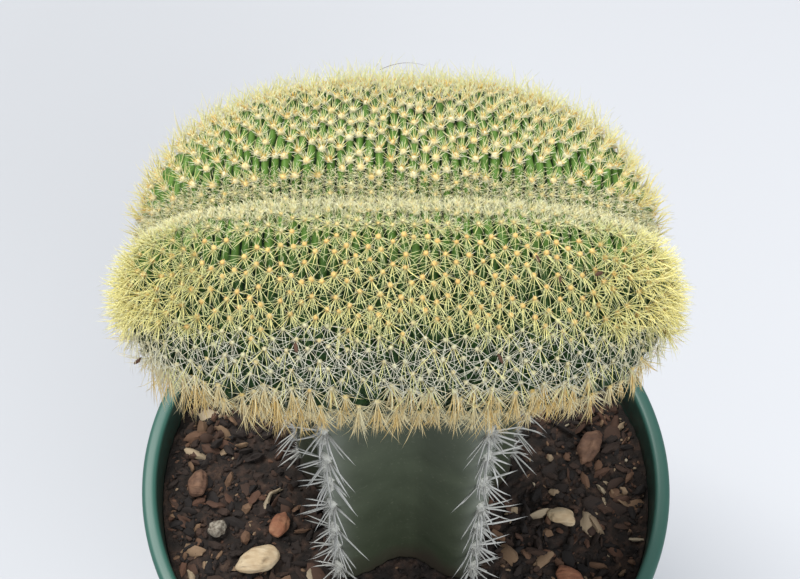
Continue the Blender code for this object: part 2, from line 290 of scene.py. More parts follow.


# %% [markdown]
# The floor is a plain pale sheet that belongs to the studio and not to the plant.  Its colour
# is painted light: a little darker toward the far left, as light falls off on paper under a
# window, and lighter toward the near right, over the pot's shadow.

# %% Floor
floor_paint = Paint("studio_floor", 0.9)
floor_place = floor_paint.place()
floor_x, floor_y = floor_paint.axis(floor_place, 0), floor_paint.axis(floor_place, 1)
# painted light: the floor is darker toward the far left and lighter toward the near right
painted_floor_light = (floor_x * 2.2 - floor_y * 1.2 + 0.45).clamped()
floor_colour = floor_paint.mix(painted_floor_light, (0.455, 0.468, 0.492), (0.600, 0.612, 0.645))
bpy.ops.mesh.primitive_plane_add(size=6.0)
floor = bpy.context.object
floor.name = "floor"
floor.data.materials.append(floor_paint.finish(floor_colour))

# %% [markdown]
# ## The crest
# A crested cactus grows from a line, not from a point.  The line runs along the top, and
# ribs flow away from it down both sides.  So the body is drawn as sections across the
# line: each starts on the line (turn 0), passes the widest place (a quarter turn) and ends
# under the body (half a turn).  The solid has the same formula; here the grid is finer.

# %% The body's formula
FLESH_SPARE = 0.5 * MM       # the faceted solid falls short of the true curve by this
EQUATOR = crest_low[2] + 9.0 * MM
GRAFT_LEVEL = crest_low[2]
CREST_RISE, CREST_SINK = 18.8 * MM, 11.0 * MM
CREST_CENTRE_X = (crest_low[0] + crest_high[0]) / 2
FRONT_LENGTH = (crest_high[0] - crest_low[0]) / 2 + FLESH_SPARE
ARCH_POWER, SECTION_POWER = 3.0, 2.15
FURROW_DEPTH, FURROW_WIDTH = 2.0 * MM, 3.4 * MM
END_ASPECT = 0.70
FRONT = {"length": FRONT_LENGTH, "depth": -crest_low[1], "power": 3.3, "side": -1}
BACK = {"length": FRONT_LENGTH * 0.95, "depth": crest_high[1], "power": 2.3, "side": 1}


def lobe_surface(arch, turn, lobe):
    """Points of one lobe; arch -pi/2..pi/2 runs along the line, turn 0..pi across it.

    The growing line is a superellipse arch.  A section goes out by a power of sin(turn)
    and falls by a power of cos(turn).  The outline seen from above is a superellipse too,
    and sections lean outward near the two ends to follow it.
    """
    half, depth, power = lobe["length"], lobe["depth"], lobe["power"]
    run, lift = np.sin(arch), np.abs(np.cos(arch)) ** (2 / ARCH_POWER)
    line_x = half * np.sign(run) * np.abs(run) ** (2 / ARCH_POWER)
    end_share = (1 - END_ASPECT ** power) ** (1 / power)
    base_x = end_share * line_x
    reach = depth * (1 - np.abs(base_x / half) ** power) ** (1 / power)
    over = np.clip(np.sin(turn), 0, 1) ** (2 / SECTION_POWER)
    height = np.abs(np.cos(turn)) ** (2 / SECTION_POWER)
    outline = (1 - (END_ASPECT * over) ** power) ** (1 / power)
    lean = (outline - end_share) / (1 - end_share)
    under = turn > math.pi / 2
    line_x = np.where(under, line_x * (1 - 0.3 * (1 - np.abs(run) ** 6)), line_x)
    y = lobe["side"] * reach * over
    rise = CREST_RISE * lift
    away = np.stack([line_x - base_x, np.where(under, 0.0, rise)])
    away = away / np.maximum(np.hypot(*away), 1e-9)
    fade = np.where(under, np.abs(run) ** 12, 1.0)
    dip = FURROW_DEPTH * fade * np.exp(-((y / FURROW_WIDTH) ** 2))
    x = CREST_CENTRE_X + base_x + (line_x - base_x) * lean - dip * away[0]
    z = EQUATOR + np.where(under, -CREST_SINK * lift, rise) * height - dip * away[1]
    return np.stack([x, y, np.maximum(z, GRAFT_LEVEL)], axis=-1)


def crest_by_arch(arch, turn):
    """Both lobes: turn 0..pi is the front lobe and 0..-pi the back one.

    Close to the growing line, where the lobes meet, each takes half of the other's x.
    """
    size = np.abs(turn)
    front, back = lobe_surface(arch, size, FRONT), lobe_surface(arch, size, BACK)
    is_front = (turn >= 0)[..., None]
    own, other = np.where(is_front, front, back), np.where(is_front, back, front)
    share = 0.5 * np.exp(-((np.sin(size) / 0.28) ** 2))
    own[..., 0] = own[..., 0] * (1 - share) + other[..., 0] * share
    return own


# %% [markdown]
# Ribs have an even width, so places along the growing line are measured as length.  The
# arch is sampled once, its running length is added up, and a table gives the arch angle
# for every share of the whole length.

# %% Even steps along the growing line
arch_samples = np.linspace(-math.pi / 2, math.pi / 2, 4001)
line_points = crest_by_arch(arch_samples, np.zeros_like(arch_samples))
line_steps = np.linalg.norm(np.diff(line_points, axis=0), axis=1)
line_run = np.concatenate(([0.0], np.cumsum(line_steps)))
LINE_LENGTH = float(line_run[-1])
print("growing line, mm:", round(LINE_LENGTH / MM, 1))


def crest_base(along, turn):
    """Smooth body without ribs; along 0..1 is the share of the growing line's length."""
    along, turn = np.broadcast_arrays(np.asarray(along, float), np.asarray(turn, float))
    return crest_by_arch(np.interp(along, line_run / LINE_LENGTH, arch_samples), turn)


def crest_frame(along, turn):
    """Base point, outward normal, and the direction down the rib away from the line."""
    step = 2e-3
    along = np.clip(along, step, 1 - step)
    point = crest_base(along, turn)
    sideways = crest_base(along + step, turn) - crest_base(along - step, turn)
    turn_step = np.where(turn >= 0, step, -step)
    ahead = crest_base(along, turn + turn_step) - crest_base(along, turn - turn_step)
    normal = np.cross(ahead, sideways) * np.sign(turn_step)[..., None]
    normal, down = unit(normal), unit(ahead)
    return point, normal, down, np.linalg.norm(sideways, axis=-1) / (2 * step)


# %% [markdown]
# Ribs split on their way up: one broad rib low down becomes two slim ones near the
# growing line.  A rib is a half-round in section with a deep narrow gap on either side,
# and each has its own place where it splits.  On the front lobe the ribs also break up
# into tubercles, one under every cluster of spines, with creases between them.

# %% Ribs
BROAD_RIBS = 31
GAP_FLOOR, TUBERCLE_TOP = -0.55 * MM, 0.75 * MM
NOSE = 0.35 * MM
split_rng = draws(11)
SPLIT_TURN = np.radians(np.stack([
    split_rng.uniform(80, 96, BROAD_RIBS),
    split_rng.uniform(70, 95, BROAD_RIBS)]))


def rib_split(along, turn):
    """0 where a rib is single and 1 where it has split in two."""
    rib = np.clip(np.floor(along * BROAD_RIBS), 0, BROAD_RIBS - 1).astype(int)
    place = SPLIT_TURN[np.where(turn >= 0, 0, 1), rib]
    return smoothstep((place - np.abs(turn)) / 0.22)


def half_round(phase, share):
    """Height 0..1 of a rib over one period; the rib takes up this share of it."""
    across = (2 * (phase % 1.0) - 1) / share
    return np.sqrt(np.maximum(1 - across ** 2, 0))


def rib_sway(along, turn):
    """How far a rib wanders sideways, as a share of a broad rib's width."""
    return 0.10 * np.sin(9 * np.abs(turn) + 40 * along)


def flesh_relief(along, turn, width, cell):
    """Height above the smooth body, and the same as a number 0..1 for the shading.

    Tubercles take over from ribs on the way down the front lobe.  cell is 0 in the crease
    between two tubercles and 1 in the middle of one.
    """
    phase = along * BROAD_RIBS + rib_sway(along, turn)
    split = rib_split(along, turn)
    ribs = (1 - split) * half_round(phase, 0.96) + split * half_round(2 * phase, 0.94)
    tubercles = np.sqrt(np.maximum(1 - (1 - cell) ** 2, 0))
    front_share = 0.22 + 0.5 * smoothstep((turn - 0.5) / 0.7)
    share = np.where(turn >= 0, front_share, 0.18)
    shape = (1 - share) * ribs + share * tubercles
    room = np.clip(width / BROAD_RIBS / (3.0 * MM), 0.35, 1.1)
    return (GAP_FLOOR + (TUBERCLE_TOP - GAP_FLOOR) * shape * room), shape


# %% [markdown]
# Every rib carries a row of areoles, the little cushions that spines grow from.  They
# stand a few millimetres apart, closer near the growing line where the plant is young.
# Their places are found by walking down each rib: its running length is added up and read
# off at even steps, half a step later on every second rib.

# %% Areole places
YOUNG_PITCH = 1.25 * MM
OLD_PITCH = (2.75 * MM, 3.5 * MM)


def walk_rib(along, side, first, pitch):
    """Turns of the areoles on one rib, for a pitch that grows away from the line."""
    turns = np.radians(np.linspace(2, 177, 190))
    path = crest_base(np.full_like(turns, along), side * turns)
    run = np.concatenate(([0.0], np.cumsum(np.linalg.norm(np.diff(path, axis=0), axis=1))))
    nursery = 9 * MM if side > 0 else 5 * MM
    local = YOUNG_PITCH + (pitch - YOUNG_PITCH) * smoothstep(run / nursery)
    local = local * (1 + 0.18 * smoothstep((run - 15 * MM) / (8 * MM)))
    count = np.concatenate(([0.0], np.cumsum(np.diff(run) / local[1:])))
    return np.interp(np.arange(first, count[-1], 1.0), count, turns)


def place_areoles():
    """All areoles as rows of (along, signed turn), on single and on split ribs."""
    rng = draws(5)
    rows = []
    for lobe, side in ((0, 1), (1, -1)):
        for rib in range(BROAD_RIBS):
            for branch in (-1, 0, 1):
                along = (rib + 0.5 + 0.25 * branch) / BROAD_RIBS
                offset = {-1: 0.1, 0: 0.35 + 0.5 * (rib % 2), 1: 0.6}[branch]
                pitch = OLD_PITCH[lobe] if branch else 2.9 * MM
                turns = walk_rib(along, side, offset, pitch)
                split = SPLIT_TURN[lobe, rib]
                kept = turns[turns < split - 0.14] if branch else turns[turns > split - 0.08]
                kept = kept + rng.normal(0, 0.018, len(kept))
                stray = rng.normal(0, 0.035, len(kept)) - rib_sway(along, kept)
                rows.append(np.stack([along + stray / BROAD_RIBS, side * kept], axis=1))
    return np.concatenate(rows)


def thin_out(points, spacing):
    """Which points stay when each has to be some distance from all that stay before it."""
    keep = np.ones(len(points), bool)
    for index in range(1, len(points)):
        gap = np.linalg.norm(points[:index][keep[:index]] - points[index], axis=1)
        keep[index] = gap.min() > spacing[index]
    return keep


places = place_areoles()
places[:, 0] = np.clip(places[:, 0], 0.004, 0.996)
spacing = (0.85 + 0.55 * smoothstep(np.abs(places[:, 1]) / 0.35)) * MM
place_points = crest_base(*places.T)
keep = thin_out(place_points, spacing) & (place_points[:, 2] > GRAFT_LEVEL + 0.5 * MM)
along_a, turn_a = places[keep].T
base_a, normal_a, down_a, width_a = crest_frame(along_a, turn_a)
side_a = np.cross(normal_a, down_a)
relief_a = flesh_relief(along_a, turn_a, width_a, np.ones_like(turn_a))[0]
foot_a = base_a + normal_a * (relief_a + NOSE)[:, None]
print("areoles on the crest:", len(along_a))

# %% [markdown]
# The flesh is one closed grid.  The upper half of a section has twice as many points as
# the under half, which is out of sight.  The two end sections fold onto themselves, so
# their points are joined in pairs; every second point of their upper half is first moved
# onto its neighbour, which has a partner below.

# %% Flesh grid
SECTIONS, UPPER_STEPS = 403, 80
CREASE = 1.15 * MM
BLOCK = 8192                 # points compared with all areoles at a time


def two_nearest(points):
    """For each point, the nearest areole and how much nearer it is than the next one."""
    found, lead = np.empty(len(points), int), np.empty(len(points))
    for start in range(0, len(points), BLOCK):
        part = slice(start, start + BLOCK)
        block = points[part]
        square = (block ** 2).sum(1)[:, None] + (base_a ** 2).sum(1)[None, :]
        square = np.maximum(square - 2 * block @ base_a.T, 0.0)
        pair = np.argpartition(square, 1, axis=1)[:, :2]
        distance = np.sqrt(np.take_along_axis(square, pair, axis=1))
        first = distance.argmin(axis=1)
        found[part] = np.take_along_axis(pair, first[:, None], axis=1)[:, 0]
        lead[part] = distance.max(axis=1) - distance.min(axis=1)
    return found, lead


section_along = np.linspace(0, 1, SECTIONS)[:, None]
upper = np.linspace(0, math.pi / 2, UPPER_STEPS + 1)
under = math.pi - upper[-3::-2]
half_turn = np.concatenate((upper, under))
turns_round = np.concatenate((half_turn, -half_turn[-2:0:-1]))[None, :]
grid_along, grid_turn = (part.copy() for part in np.broadcast_arrays(section_along, turns_round))
odd = np.flatnonzero(np.arange(UPPER_STEPS + 1) % 2)
for end in (0, -1):
    grid_turn[end, odd] = upper[odd - 1]
    grid_turn[end, -odd] = -upper[odd - 1]
smooth_body = crest_base(grid_along, grid_turn)
_, grid_normal, _, grid_width = crest_frame(grid_along, grid_turn)
closest, lead = (part.reshape(grid_turn.shape) for part in two_nearest(smooth_body.reshape(-1, 3)))
cell = np.clip(lead / CREASE, 0, 1)
relief, shape = flesh_relief(grid_along, grid_turn, grid_width, cell)
offset = smooth_body - base_a[closest]
ahead = (offset * down_a[closest]).sum(-1)
aside = (offset * side_a[closest]).sum(-1)
slope = np.where(ahead > 0, 0.60 * MM, 1.2 * MM)
nose = np.exp(-((ahead / slope) ** 2) - (aside / (0.60 * MM)) ** 2)
end_calm = smoothstep(np.minimum(grid_along, 1 - grid_along) / 0.012)
flesh_height = (relief + NOSE * nose) * end_calm
flesh_height *= smoothstep((math.pi - np.abs(grid_turn)) / 0.15)
flesh_height *= smoothstep((smooth_body[..., 2] - GRAFT_LEVEL) / (1.2 * MM))
flesh_points = smooth_body + grid_normal * flesh_height[..., None]

# %% [markdown]
# Fresh flesh by the growing line is a clear yellow green, older flesh lower down a dull
# one, and the gaps, where light hardly gets, are nearly black.  The front lobe is also
# painted darker toward its lower part, as painted shade.  A fine pale speckle and a
# soft bump give the skin its slightly waxy look.

# %% Flesh finish and piece
flesh = Paint("crest_flesh", 0.42, Specular_IOR_Level=0.12)
rise, age = flesh.reads("rise"), flesh.reads("age")
blotch = flesh.noise(260.0, 3.0)
speckle = flesh.noise(2600.0, 2.0)
fresh = flesh.mix(blotch, (0.056, 0.128, 0.022), (0.125, 0.230, 0.045))
old = flesh.mix(blotch, (0.022, 0.060, 0.014), (0.054, 0.118, 0.028))
skin = flesh.mix(age, fresh, old)
# painted shade: the front lobe darkens toward its lower part, away from the growing line
skin = flesh.mix(flesh.reads("shade") * 0.88, skin, (0.006, 0.024, 0.005))
skin = flesh.mix(((speckle - 0.60) * 1.6).clamped(), skin, (0.22, 0.34, 0.14))
skin = flesh.mix((rise * 3.0 - 1.25).clamped(), (0.003, 0.012, 0.003), skin)
flesh_material = flesh.finish(skin, 0.80 - 0.40 * rise, speckle, 0.04 * MM)

stored = {
    "rise": np.clip(shape, 0, 1),
    # painted shade on the front lobe only, growing away from the growing line
    "shade": smoothstep((grid_turn - 0.12) / 0.5),
    "age": smoothstep((np.abs(grid_turn) - np.where(grid_turn > 0, 0.55, 0.25)) / 0.8),
}
crest = mesh_piece("crest_flesh", flesh_points.reshape(-1, 3),
                   ring_quads(SECTIONS, turns_round.size), [],
                   flesh_material, values=stored)


def close_seams(piece, distance=1e-6):
    """Join doubled points and turn all faces outward."""
    bm = bmesh.new()
    bm.from_mesh(piece.data)
    bmesh.ops.remove_doubles(bm, verts=bm.verts, dist=distance)
    bmesh.ops.dissolve_degenerate(bm, edges=bm.edges, dist=distance)
    bmesh.ops.recalc_face_normals(bm, faces=bm.faces)
    open_edges = sum(1 for edge in bm.edges if not edge.is_manifold)
    bm.to_mesh(piece.data)
    bm.free()
    print(f"{piece.name}: {open_edges} open edges")


close_seams(crest)
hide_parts("crest")

# %% [markdown]
# ## Spines
# A spine is a thin cone, a little bent.  Thousands of them make one piece, so each has
# only three sides and a few stations, and all spines of a piece are worked out together:
# rows of base points, directions, lengths, widths and bends go in, one piece comes out.

# %% Many spines at once
LONG, SHORT = (0.0, 0.38, 0.74), (0.0, 0.55)   # stations of long and of short spines
STRIP_WIDTH = 0.012


def circle_about(axis, count):
    """Unit circle of points square to each axis."""
    helper = np.where(np.abs(axis[:, 2:]) < 0.9, [[0, 0, 1.0]], [[1.0, 0, 0]])
    first = unit(np.cross(axis, helper))
    second = np.cross(axis, first)
    return swing(first[:, None], second[:, None], TURN * np.arange(count) / count)


def swarm_piece(name, material, points, quads, tris, tint, across, out):
    """One piece of many copies of a small form.

    points is (copies, corners, 3), and quads and tris are the faces of one copy.  The map
    holds tint + across * strip width, and out, at each corner.  The last triangle lies
    along one line of the map, so its corners are moved a little apart there.
    """
    count, corners = points.shape[:2]
    start = corners * np.arange(count)[:, None, None]
    pairs = np.stack([tint[:, None] + across * STRIP_WIDTH,
                      np.broadcast_to(out, (count, corners))], axis=-1)
    tri_map = pairs[:, tris]
    tri_map[:, -1, :, 1] += np.array([0.0, 0.004, 0.008])
    corner_map = np.concatenate((pairs[:, quads].reshape(-1, 2), tri_map.reshape(-1, 2)))
    return mesh_piece(name, points.reshape(-1, 3), start + quads, start + tris, material,
                      corner_map)


def spine_piece(name, material, rows, stations=LONG, replaces=None):
    """One piece of all the spines in the rows.

    Station t lies at base + direction * length * t + bend * t squared; the ring there has
    three points; a last point closes the tip.  The map holds (tint, t) at each corner.
    """
    base, direction, length, girth, bend, tint = (np.concatenate(parts) for parts in zip(*rows))
    station, t = np.array(stations), np.array(stations)[:, None]
    stem = direction * length[:, None]
    spine = base[:, None] + stem[:, None] * t + bend[:, None] * t ** 2
    wide = (girth[:, None] * (1 - 0.65 * station ** 1.6))[:, :, None, None]
    rings = spine[:, :, None] + circle_about(direction, 3)[:, None] * wide
    tips = (base + stem + bend)[:, None]
    points = np.concatenate((rings.reshape(len(base), -1, 3), tips), axis=1)
    tip = 3 * len(stations)
    quads = ring_quads(len(stations), 3)
    tris = np.concatenate((cap(tip - 3, tip, 3), [[2, 1, 0]]))
    across = np.append(np.tile([0.0, 0.5, 1.0], len(stations)), 0.5)
    out = np.append(np.repeat(station, 3), 1.0) * 0.98 + 0.01
    piece = swarm_piece(name, material, points, quads, tris, tint, across, out)
    if replaces:
        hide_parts(replaces)


# %% [markdown]
# The finish of a spine runs from the woolly foot to the glassy tip, and the tint tells
# a pale young spine from a deep golden one.  Both numbers are in the map.

# %% Spine finish
def spine_finish(name, foot, pale, deep, tip, roughness=0.45):
    """Foot colour, then pale..deep by tint, then a clear tip."""
    paint = Paint(name, roughness, Coat_Weight=0.12)
    tint, out = paint.strip()
    shaft = paint.mix(tint, pale, deep)
    colour = paint.mix((out * 4.0).clamped(), foot, shaft)
    colour = paint.mix(((out * 2.5 - 1.6).clamped()) * 0.6, colour, tip)
    return paint.finish(colour)


# %% [markdown]
# One areole sends out several kinds of spine.  Each kind is a fan about the direction
# down the rib, leaning away from the flesh by a range of angles, longest in the middle.
# Bends are small: toward the flesh for spines that hang, away from it for curly wool.

# %% A fan of spines on each chosen areole
def fan(bed, chosen, rng, each, length, girth, tilt, spread, tint, sag=0.10, curl=0.0, even=0.0,
        lift=0.0, fuzz=0.13):
    """Spine rows: base, direction, length, girth, bend and tint of every spine.

    bed holds the foot, normal, down-rib and sideways vectors of all areoles of a body.
    Girth is in mm.  tilt is the range of angles from the normal and spread the fan's half
    angle, in degrees.  Length is full in the middle of the fan, and `even` of it up the rib.
    sag bends toward flesh and ground, curl away from the flesh; lift turns it up.
    """
    index = np.repeat(np.flatnonzero(chosen), each)
    foot, normal, down, side = (part[index] for part in bed)
    count = len(index)
    share = np.tile((np.arange(each) + 0.5) / each * 2 - 1, count // each)
    angle = np.radians(spread) * share + rng.normal(0, 0.5 * math.radians(spread) / each, count)
    lean = np.radians(rng.uniform(*tilt, count))
    flat = swing(down, side, angle)
    direction = unit(swing(normal, flat, lean) + np.array([0, 0, lift]))
    size = length[index] if np.ndim(length) else length
    size = size * (even + (1 - even) * (0.5 + 0.5 * np.cos(angle)))
    size = size * rng.uniform(0.75, 1.12, count)
    bend = normal * (curl - 0.6 * sag) + np.array([0, 0, -0.4 * sag])
    bend = bend + side * rng.normal(0, 0.19 + 0.25 * curl, count)[:, None]
    start = foot + flat * (0.14 * MM) - normal * (0.1 * MM)
    wide = girth * MM * rng.uniform(0.8, 1.15, count)
    shade = tint[index] if np.ndim(tint) else tint
    shade = np.clip(shade + rng.normal(0, fuzz, count), 0.0, 0.985)
    return start, direction, size, wide, bend * size[:, None], shade


crest_fan = partial(fan, (foot_a, normal_a, down_a, side_a))
turn_deg, AREOLES = np.degrees(turn_a), len(turn_a)
reach = np.abs(foot_a[:, 0] - CREST_CENTRE_X) / FRONT_LENGTH
END_FROM, END_SPAN = 0.66, 0.30   # the two ends, as shares of the half length
end_share = np.clip((reach - END_FROM) / END_SPAN, 0, 1)
is_right = foot_a[:, 0] > CREST_CENTRE_X
rng_growth = draws(20)
young = (turn_deg > -5) & (turn_deg < 14)
band_border = 50 + 1.2 * np.sin(foot_a[:, 0] / (6 * MM)) + rng_growth.normal(0, 2.6, AREOLES)
front_yellow = (turn_deg >= 9.5) & (turn_deg <= band_border)
front_white = (turn_deg > band_border) & (turn_deg <= 78)
hem = 121 + 59 * end_share
front_skirt = (turn_deg > 75) & (turn_deg < hem)
back_crowns = (turn_deg <= -5) & (turn_deg > -92)
back_skirt = (turn_deg <= -92) & (turn_deg > -hem)
print("areoles by zone:", [int(zone.sum()) for zone in (
    young, front_yellow, front_white, front_skirt, back_crowns, back_skirt)])

# %% [markdown]
# ### Front lobe
# The spines of the front lobe are long, slim and pale yellow, and hang over the flesh like
# a comb, with a few stout golden ones in each fan.  Toward the two ends they stand off the
# body and turn golden, more so on the right.

# %% Yellow spines of the front lobe
rng_front = draws(21)
yellow = spine_finish("yellow_spines", (0.64, 0.52, 0.24), (0.60, 0.64, 0.32),
                      (0.94, 0.84, 0.33), (0.88, 0.89, 0.62))
golden = 0.10 + 0.18 * smoothstep((turn_deg - 14) / 20) + (0.50 + 0.12 * is_right) * end_share
grown = 0.70 + 0.30 * smoothstep((turn_deg - 10) / 18)
hanging_length = (3.5 * grown + 0.5 * end_share) * MM
stout_length = (3.2 * grown + 1.2 * end_share) * MM
for label, half in (("left", ~is_right), ("right", is_right)):
    here = front_yellow & half
    near_end = here & (end_share > 0.10)
    rows = [crest_fan(here, rng_front, 7, hanging_length * 1.40, 0.047, (46, 80), 78, golden,
                      sag=0.22, even=0.15, fuzz=0.24),
            crest_fan(here, rng_front, 3, hanging_length * 1.1, 0.046, (55, 84), 170, golden,
                      sag=0.12, even=0.5, fuzz=0.20),
            crest_fan(here, rng_front, 3, stout_length, 0.070, (34, 66), 40,
                      0.52 + 0.3 * end_share, fuzz=0.28),
            crest_fan(near_end, rng_front, 13, stout_length, 0.060, (5, 50), 180, golden + 0.05,
                      sag=0.05, even=0.9)]
    spine_piece(f"front_spines_{label}", yellow, rows, replaces="front_spines")

# %% [markdown]
# Below a ragged border the spines become white spiders on dark flesh: they leave the
# areole all round, and only some have a golden one among them.

# %% White spines of the front lobe
rng_band = draws(22)
white = spine_finish("white_spines", (0.64, 0.60, 0.46), (0.72, 0.72, 0.61),
                     (0.74, 0.67, 0.36), (0.80, 0.80, 0.72))
some = rng_band.uniform(0, 1, AREOLES) < 0.45
pale = 0.10 + 0.5 * end_share
rows = [crest_fan(front_white, rng_band, 6, (4.3 + 0.8 * end_share) * MM, 0.050, (52, 82), 85,
                  pale, sag=0.16, even=0.3),
        crest_fan(front_white, rng_band, 3, 3.4 * MM, 0.048, (58, 84), 170, pale, sag=0.12,
                  even=0.6)]
spine_piece("front_white_spines", white, rows)
rows = [crest_fan(front_white & some, rng_band, 3, 3.9 * MM, 0.066, (35, 65), 50, 0.40)]
spine_piece("front_gold_spines", yellow, rows)

# %% [markdown]
# ### Back lobe
# Behind the growing line the tufts are small crowns: a ring of white wool curls up from
# the foot, golden stubs fill the middle, and a fan of paler spines opens away from the
# line, longer toward the far edge.

# %% Crowns of the back lobe
rng_back = draws(23)
cream = spine_finish("cream_spines", (0.66, 0.62, 0.38), (0.66, 0.68, 0.34),
                     (0.76, 0.60, 0.16), (0.72, 0.72, 0.42))
curly = spine_finish("curly_wool", (0.74, 0.72, 0.54), (0.80, 0.80, 0.62),
                     (0.78, 0.72, 0.40), (0.82, 0.82, 0.66), 0.6)
far = smoothstep((-turn_deg - 20) / 40)
vigour = rng_back.uniform(0.78, 1.25, AREOLES)
fan_length = (2.0 + 2.0 * far + 1.5 * end_share) * vigour * MM
rows = [crest_fan(back_crowns, rng_back, 15, 1.25 * MM, 0.062, (40, 88), 180, 0.25, sag=0.0,
                  curl=0.45, even=0.9)]
spine_piece("back_wool_rings", curly, rows, SHORT)
stub_tint = np.clip(0.78 + 0.15 * end_share + rng_back.normal(0, 0.15, AREOLES), 0, 1)
stubs = spine_finish("gold_stubs", (0.62, 0.50, 0.18), (0.70, 0.58, 0.22),
                     (0.66, 0.39, 0.06), (0.72, 0.54, 0.18), 0.6)
rows = [crest_fan(back_crowns, rng_back, 9, (1.05 + 0.4 * far) * vigour * MM, 0.075, (0, 42), 180,
                  stub_tint, sag=0.0, even=1.0)]
spine_piece("back_gold_stubs", stubs, rows, SHORT)
rows = [crest_fan(back_crowns, rng_back, 9, fan_length * 1.15, 0.060, (22, 64), 82,
                  0.22 + 0.4 * end_share, sag=0.04, curl=0.05, even=0.25)]
spine_piece("back_spines", cream, rows, replaces="back_spines")

# %% [markdown]
# ### Skirt
# Around the lower edge the oldest spines are tan, stout and long, and hang like a fringe.

# %% Skirt spines
rng_skirt = draws(24)
tan = spine_finish("tan_spines", (0.76, 0.70, 0.48), (0.80, 0.74, 0.48),
                   (0.72, 0.50, 0.16), (0.76, 0.59, 0.26), 0.55)
tassel = (6.2 + 1.8 * end_share) * rng_skirt.uniform(0.62, 1.25, AREOLES) * MM
rust = np.clip(rng_skirt.normal(0.66, 0.30, AREOLES), 0, 1)
for label, chosen in (("front", front_skirt), ("back", back_skirt)):
    rows = [crest_fan(chosen, rng_skirt, 13, tassel, 0.078, (38, 66), 22, rust, sag=0.14,
                      lift=-0.9, fuzz=0.22),
            crest_fan(chosen, rng_skirt, 8, tassel * 0.8, 0.065, (40, 80), 90, 0.12, sag=0.14,
                      even=0.3, lift=-0.35),
            crest_fan(chosen, rng_skirt, 6, 3.4 * MM, 0.060, (50, 84), 165, 0.10, sag=0.10,
                      even=0.6)]
    spine_piece(f"{label}_skirt_spines", tan, rows,
                replaces=f"{label}_skirt_spines")
stragglers = front_skirt & (turn_deg < 100) & (rng_skirt.uniform(0, 1, AREOLES) < 0.12)
rows = [crest_fan(stragglers, rng_skirt, 2, 7.6 * MM, 0.10, (45, 75), 25, 0.45, sag=0.05,
                  lift=-0.3)]
spine_piece("front_long_spines", tan, rows)

# %% [markdown]
# ### Areole cushions
# Each cluster grows from a tiny felt cushion, tan on the front lobe and whitish behind: a
# low dome with two rings of six points, and short felt hairs that stand on it.

# %% Areole cushions
def dome_piece(name, slot, material, centre, normal, radius, height, tint):
    """Low domes: two rings of six points and a top, sunk a little into the flesh."""
    ring, size = circle_about(normal, 6), radius[:, None, None]
    centre, normal, height = centre[:, None], normal[:, None], height[:, None, None]
    points = np.concatenate((centre + ring * size - normal * size * 0.5,
                             centre + ring * size * 0.75 + normal * height * 0.6,
                             centre - normal * size * 0.5, centre + normal * height), axis=1)
    under = cap(0, 12, 6)[:, [1, 0, 2]]
    across = np.append(np.tile([0.0, 0.5, 1.0], 4), [0.5, 0.5])
    out = np.append(np.repeat([0.1, 0.6], 6), [0.02, 0.95])
    swarm_piece(name, material, points, ring_quads(2, 6),
                np.concatenate((cap(6, 13, 6), under)), tint, across, out)


rng_felt = draws(25)
felt = Paint("areole_felt", 0.95, Sheen_Weight=0.3)
felt_tint, felt_out = felt.strip()
felt_shade = felt.ramp(felt_tint, [(0.0, (0.62, 0.59, 0.38)), (0.45, (0.68, 0.51, 0.17)),
                                   (1.0, (0.58, 0.34, 0.09))])
felt_material = felt.finish(felt.mix(felt_out * felt_tint * 0.8, felt_shade, (0.70, 0.48, 0.18)))
zones = [young, front_yellow, front_white, front_skirt]
zone_tones = (np.select(zones, [0.20, 0.75, 0.02, 0.30], 0.12),
              np.select(zones, [0.32, 0.82, 0.10, 0.45], 0.48))
stray_tone = rng_felt.normal(0, 0.10, AREOLES)
cushion_tone, felt_tone = (np.clip(tone + stray_tone, 0.0, 0.98) for tone in zone_tones)
felt_size = np.select([young, back_crowns, front_white], [0.32, 0.58, 0.36], 0.44)
felt_size = felt_size * rng_felt.uniform(0.85, 1.15, AREOLES) * MM
dome_piece("areole_cushions", "white_wool", felt_material, foot_a, normal_a, felt_size,
           felt_size * 0.75, cushion_tone)
shown = turn_deg > -100
rows = [crest_fan(shown, rng_felt, 9, 0.62 * MM, 0.060, (5, 75), 180, felt_tone, sag=0.0,
                  even=1.0)]
spine_piece("areole_felt", felt_material, rows, SHORT)
rows = [crest_fan(front_yellow, rng_felt, 4, 1.05 * MM, 0.050, (58, 86), 180, 0.15, sag=0.0,
                  curl=0.15, even=0.9)]
spine_piece("front_wool_rings", curly, rows, SHORT)

# %% [markdown]
# ### Wool of the growing line
# The growing line is packed with the newest areoles, so close that only their wool and
# fine young spines show: a pale fuzzy band.  Every young areole gets a tuft of wool and a
# few yellow stubs.  Loose hairs are sown between them, and a narrow row of fuzz behind.

# %% Growing line wool
rng_wool = draws(26)
LOOSE_HAIRS, FUZZ_HAIRS = 15500, 3200


def sown_hairs(along, turn, size_range, tint_spread):
    """Spine rows of single hairs that lean at random; size in mm, tint as mean and spread."""
    count = len(along)
    base, normal, down, width = crest_frame(along, turn)
    side = np.cross(normal, down)
    lift = flesh_relief(along, turn, width, np.full(count, 0.5))[0]
    whirl = rng_wool.uniform(0, TURN, count)
    lean = np.abs(rng_wool.normal(0, 0.70, count))
    direction = unit(swing(normal, swing(down, side, whirl), lean))
    size = rng_wool.uniform(*size_range, count) * MM
    bend = side * (rng_wool.normal(0, 0.3, count) * size)[:, None]
    tint = np.clip(rng_wool.normal(*tint_spread, count), 0, 0.98)
    girth = rng_wool.uniform(0.04, 0.06, count) * MM
    return base + normal * lift[:, None], direction, size, girth, bend, tint


